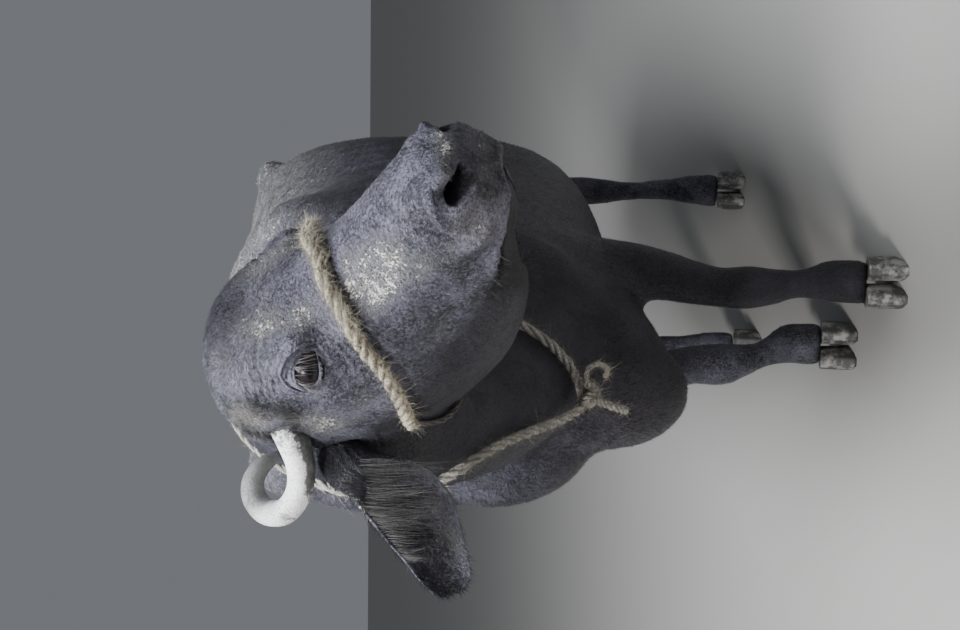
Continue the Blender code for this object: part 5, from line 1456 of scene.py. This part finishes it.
# Longer mud-caked hair stands in a swirled collar round each horn and hangs from the corners of
# the mouth and chin, with single stiff whiskers on the muzzle.
horn_gap = gap_to(skin_ground[4], (0.052, 0.088, -0.044))
collar_hair = smooth_step(0.064 - horn_gap, 0, 0.022) * smooth_step(horn_gap, 0.026, 0.034)
collar_hair *= gap_to(skin_ground[4], EYE_IN_HEAD) > 0.060


def lie_round_horn(points, normals, head):
    to_row = np.array(HEAD.to_3x3()) / HEAD_SCALE
    away = head - np.column_stack([np.full(len(head), 0.040), np.sign(head[:, 1]) * 0.085, np.full(len(head), -0.044)])
    away /= np.linalg.norm(away, axis=1)[:, None]
    return turned(away @ to_row.T, normals, 1.0 + 0.9 * np.sin(points @ np.array((120, 90, 150))))


coat("coat_horn_collar", skin_ground, collar_hair, 420000, (0.010, 0.020), (0.0004, 0.0008), 0.34, 5, 1.4, long_hair, 0.4, lie_round_horn)
mouth_corner = np.exp(-((gap_to(skin_ground[4], (0.372, 0.066, -0.190)) / 0.030) ** 2))
coat("coat_mouth", skin_ground, mouth_corner, 90000, (0.014, 0.034), (0.0004, 0.0006), 0.40, 6, 0.9, long_hair, 0.35)
chin = smooth_step(skin_ground[4][:, 0], 0.36, 0.42) * smooth_step(-0.150 - skin_ground[4][:, 2], 0, 0.02)
coat("coat_chin", skin_ground, chin, 16000, (0.008, 0.022), (0.0003, 0.0005), 0.5, 5, 0.8, long_hair, 0.5)
muzzle = smooth_step(skin_ground[4][:, 0], 0.40, 0.44) * smooth_step(skin_ground[4][:, 2] + 0.14, 0, 0.02)
coat("whiskers", skin_ground, muzzle * smooth_step(-0.05 - skin_ground[4][:, 2], 0, 0.02), 4200, (0.008, 0.020), (0.0002, 0.0003), 0.7, 6, 1.2, long_hair, 0.5)


# The ears are furred inside and out with hair that lies toward the tip and stands off the rims.
def lie_on_ear(points, normals, head):
    to_row = np.array(HEAD.to_3x3()) / HEAD_SCALE
    toward_tip = np.column_stack([np.full(len(head), -0.20), np.sign(head[:, 1]) * 0.55, np.full(len(head), -0.81)])
    return turned(toward_tip @ to_row.T, normals, 0.5 * np.sin(points @ np.array((90, 40, 70))))


for word in ("left", "right"):
    blade = ground_of(bpy.data.objects["ear_blade_" + word])
    coat("coat_ear_" + word, blade, np.ones(len(blade[2])), 170000, (0.006, 0.014), (0.0004, 0.0007), 0.30, 4, 0.45, short_hair, 0.4, lie_on_ear)


# The tail ends in a thin switch of long dark hair that hangs straight down.
switch_low, switch_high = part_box("tail_switch")
middle = (Vector(switch_low) + Vector(switch_high)) / 2
paths, across, roots, widths, tones = [], [], [], [], []
for n in range(2600):
    turn, out = rng.uniform(0, math.tau), math.sqrt(rng.random())
    share = rng.random() ** 1.4 * 0.45
    top = switch_high[2] + 0.02 - share * 0.20
    length = (top - switch_low[2]) * rng.uniform(0.55, 1.0)
    points = []
    for step in range(8):
        t = step / 7
        wide = 0.0125 + 0.0085 * math.sin(min(1.0, t * 1.2) * math.pi) - 0.006 * t
        sway = 0.003 * math.sin(t * 5 + turn * 2)
        points.append(Vector((
            middle.x + math.cos(turn) * out * wide + sway, middle.y + math.sin(turn) * out * wide + sway, top - length * t,
        )))
    paths.append(points)
    across.append((-math.sin(turn), math.cos(turn), 0))
    roots.append((0.985, 0.02 + 0.9 * turn / math.tau))
    widths.append(rng.uniform(0.0006, 0.0012))
    tones.append((0.5 * rng.random() ** 3, 0.2 * rng.random() ** 3, 0.3, 1))
switch = strands("switch_hair", paths, widths, np.array(across), np.array(roots), np.array(tones), long_hair)
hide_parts("tail_switch")


# The finished hide keeps its small triangles where it is folded and loses some where it is flat.
thin = skin.modifiers.new("thin", "DECIMATE")
thin.ratio = 0.76
depsgraph = bpy.context.evaluated_depsgraph_get()
skin.data = bpy.data.meshes.new_from_object(skin.evaluated_get(depsgraph), preserve_all_data_layers=True, depsgraph=depsgraph)
skin.modifiers.clear()
print("skin", len(skin.data.polygons), [layer.name for layer in skin.data.color_attributes])


# The dressed animal's size beside the solids', for the record.
low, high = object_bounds()
{"cad": [list(cad_low), list(cad_high)], "visual": [list(low), list(high)]}
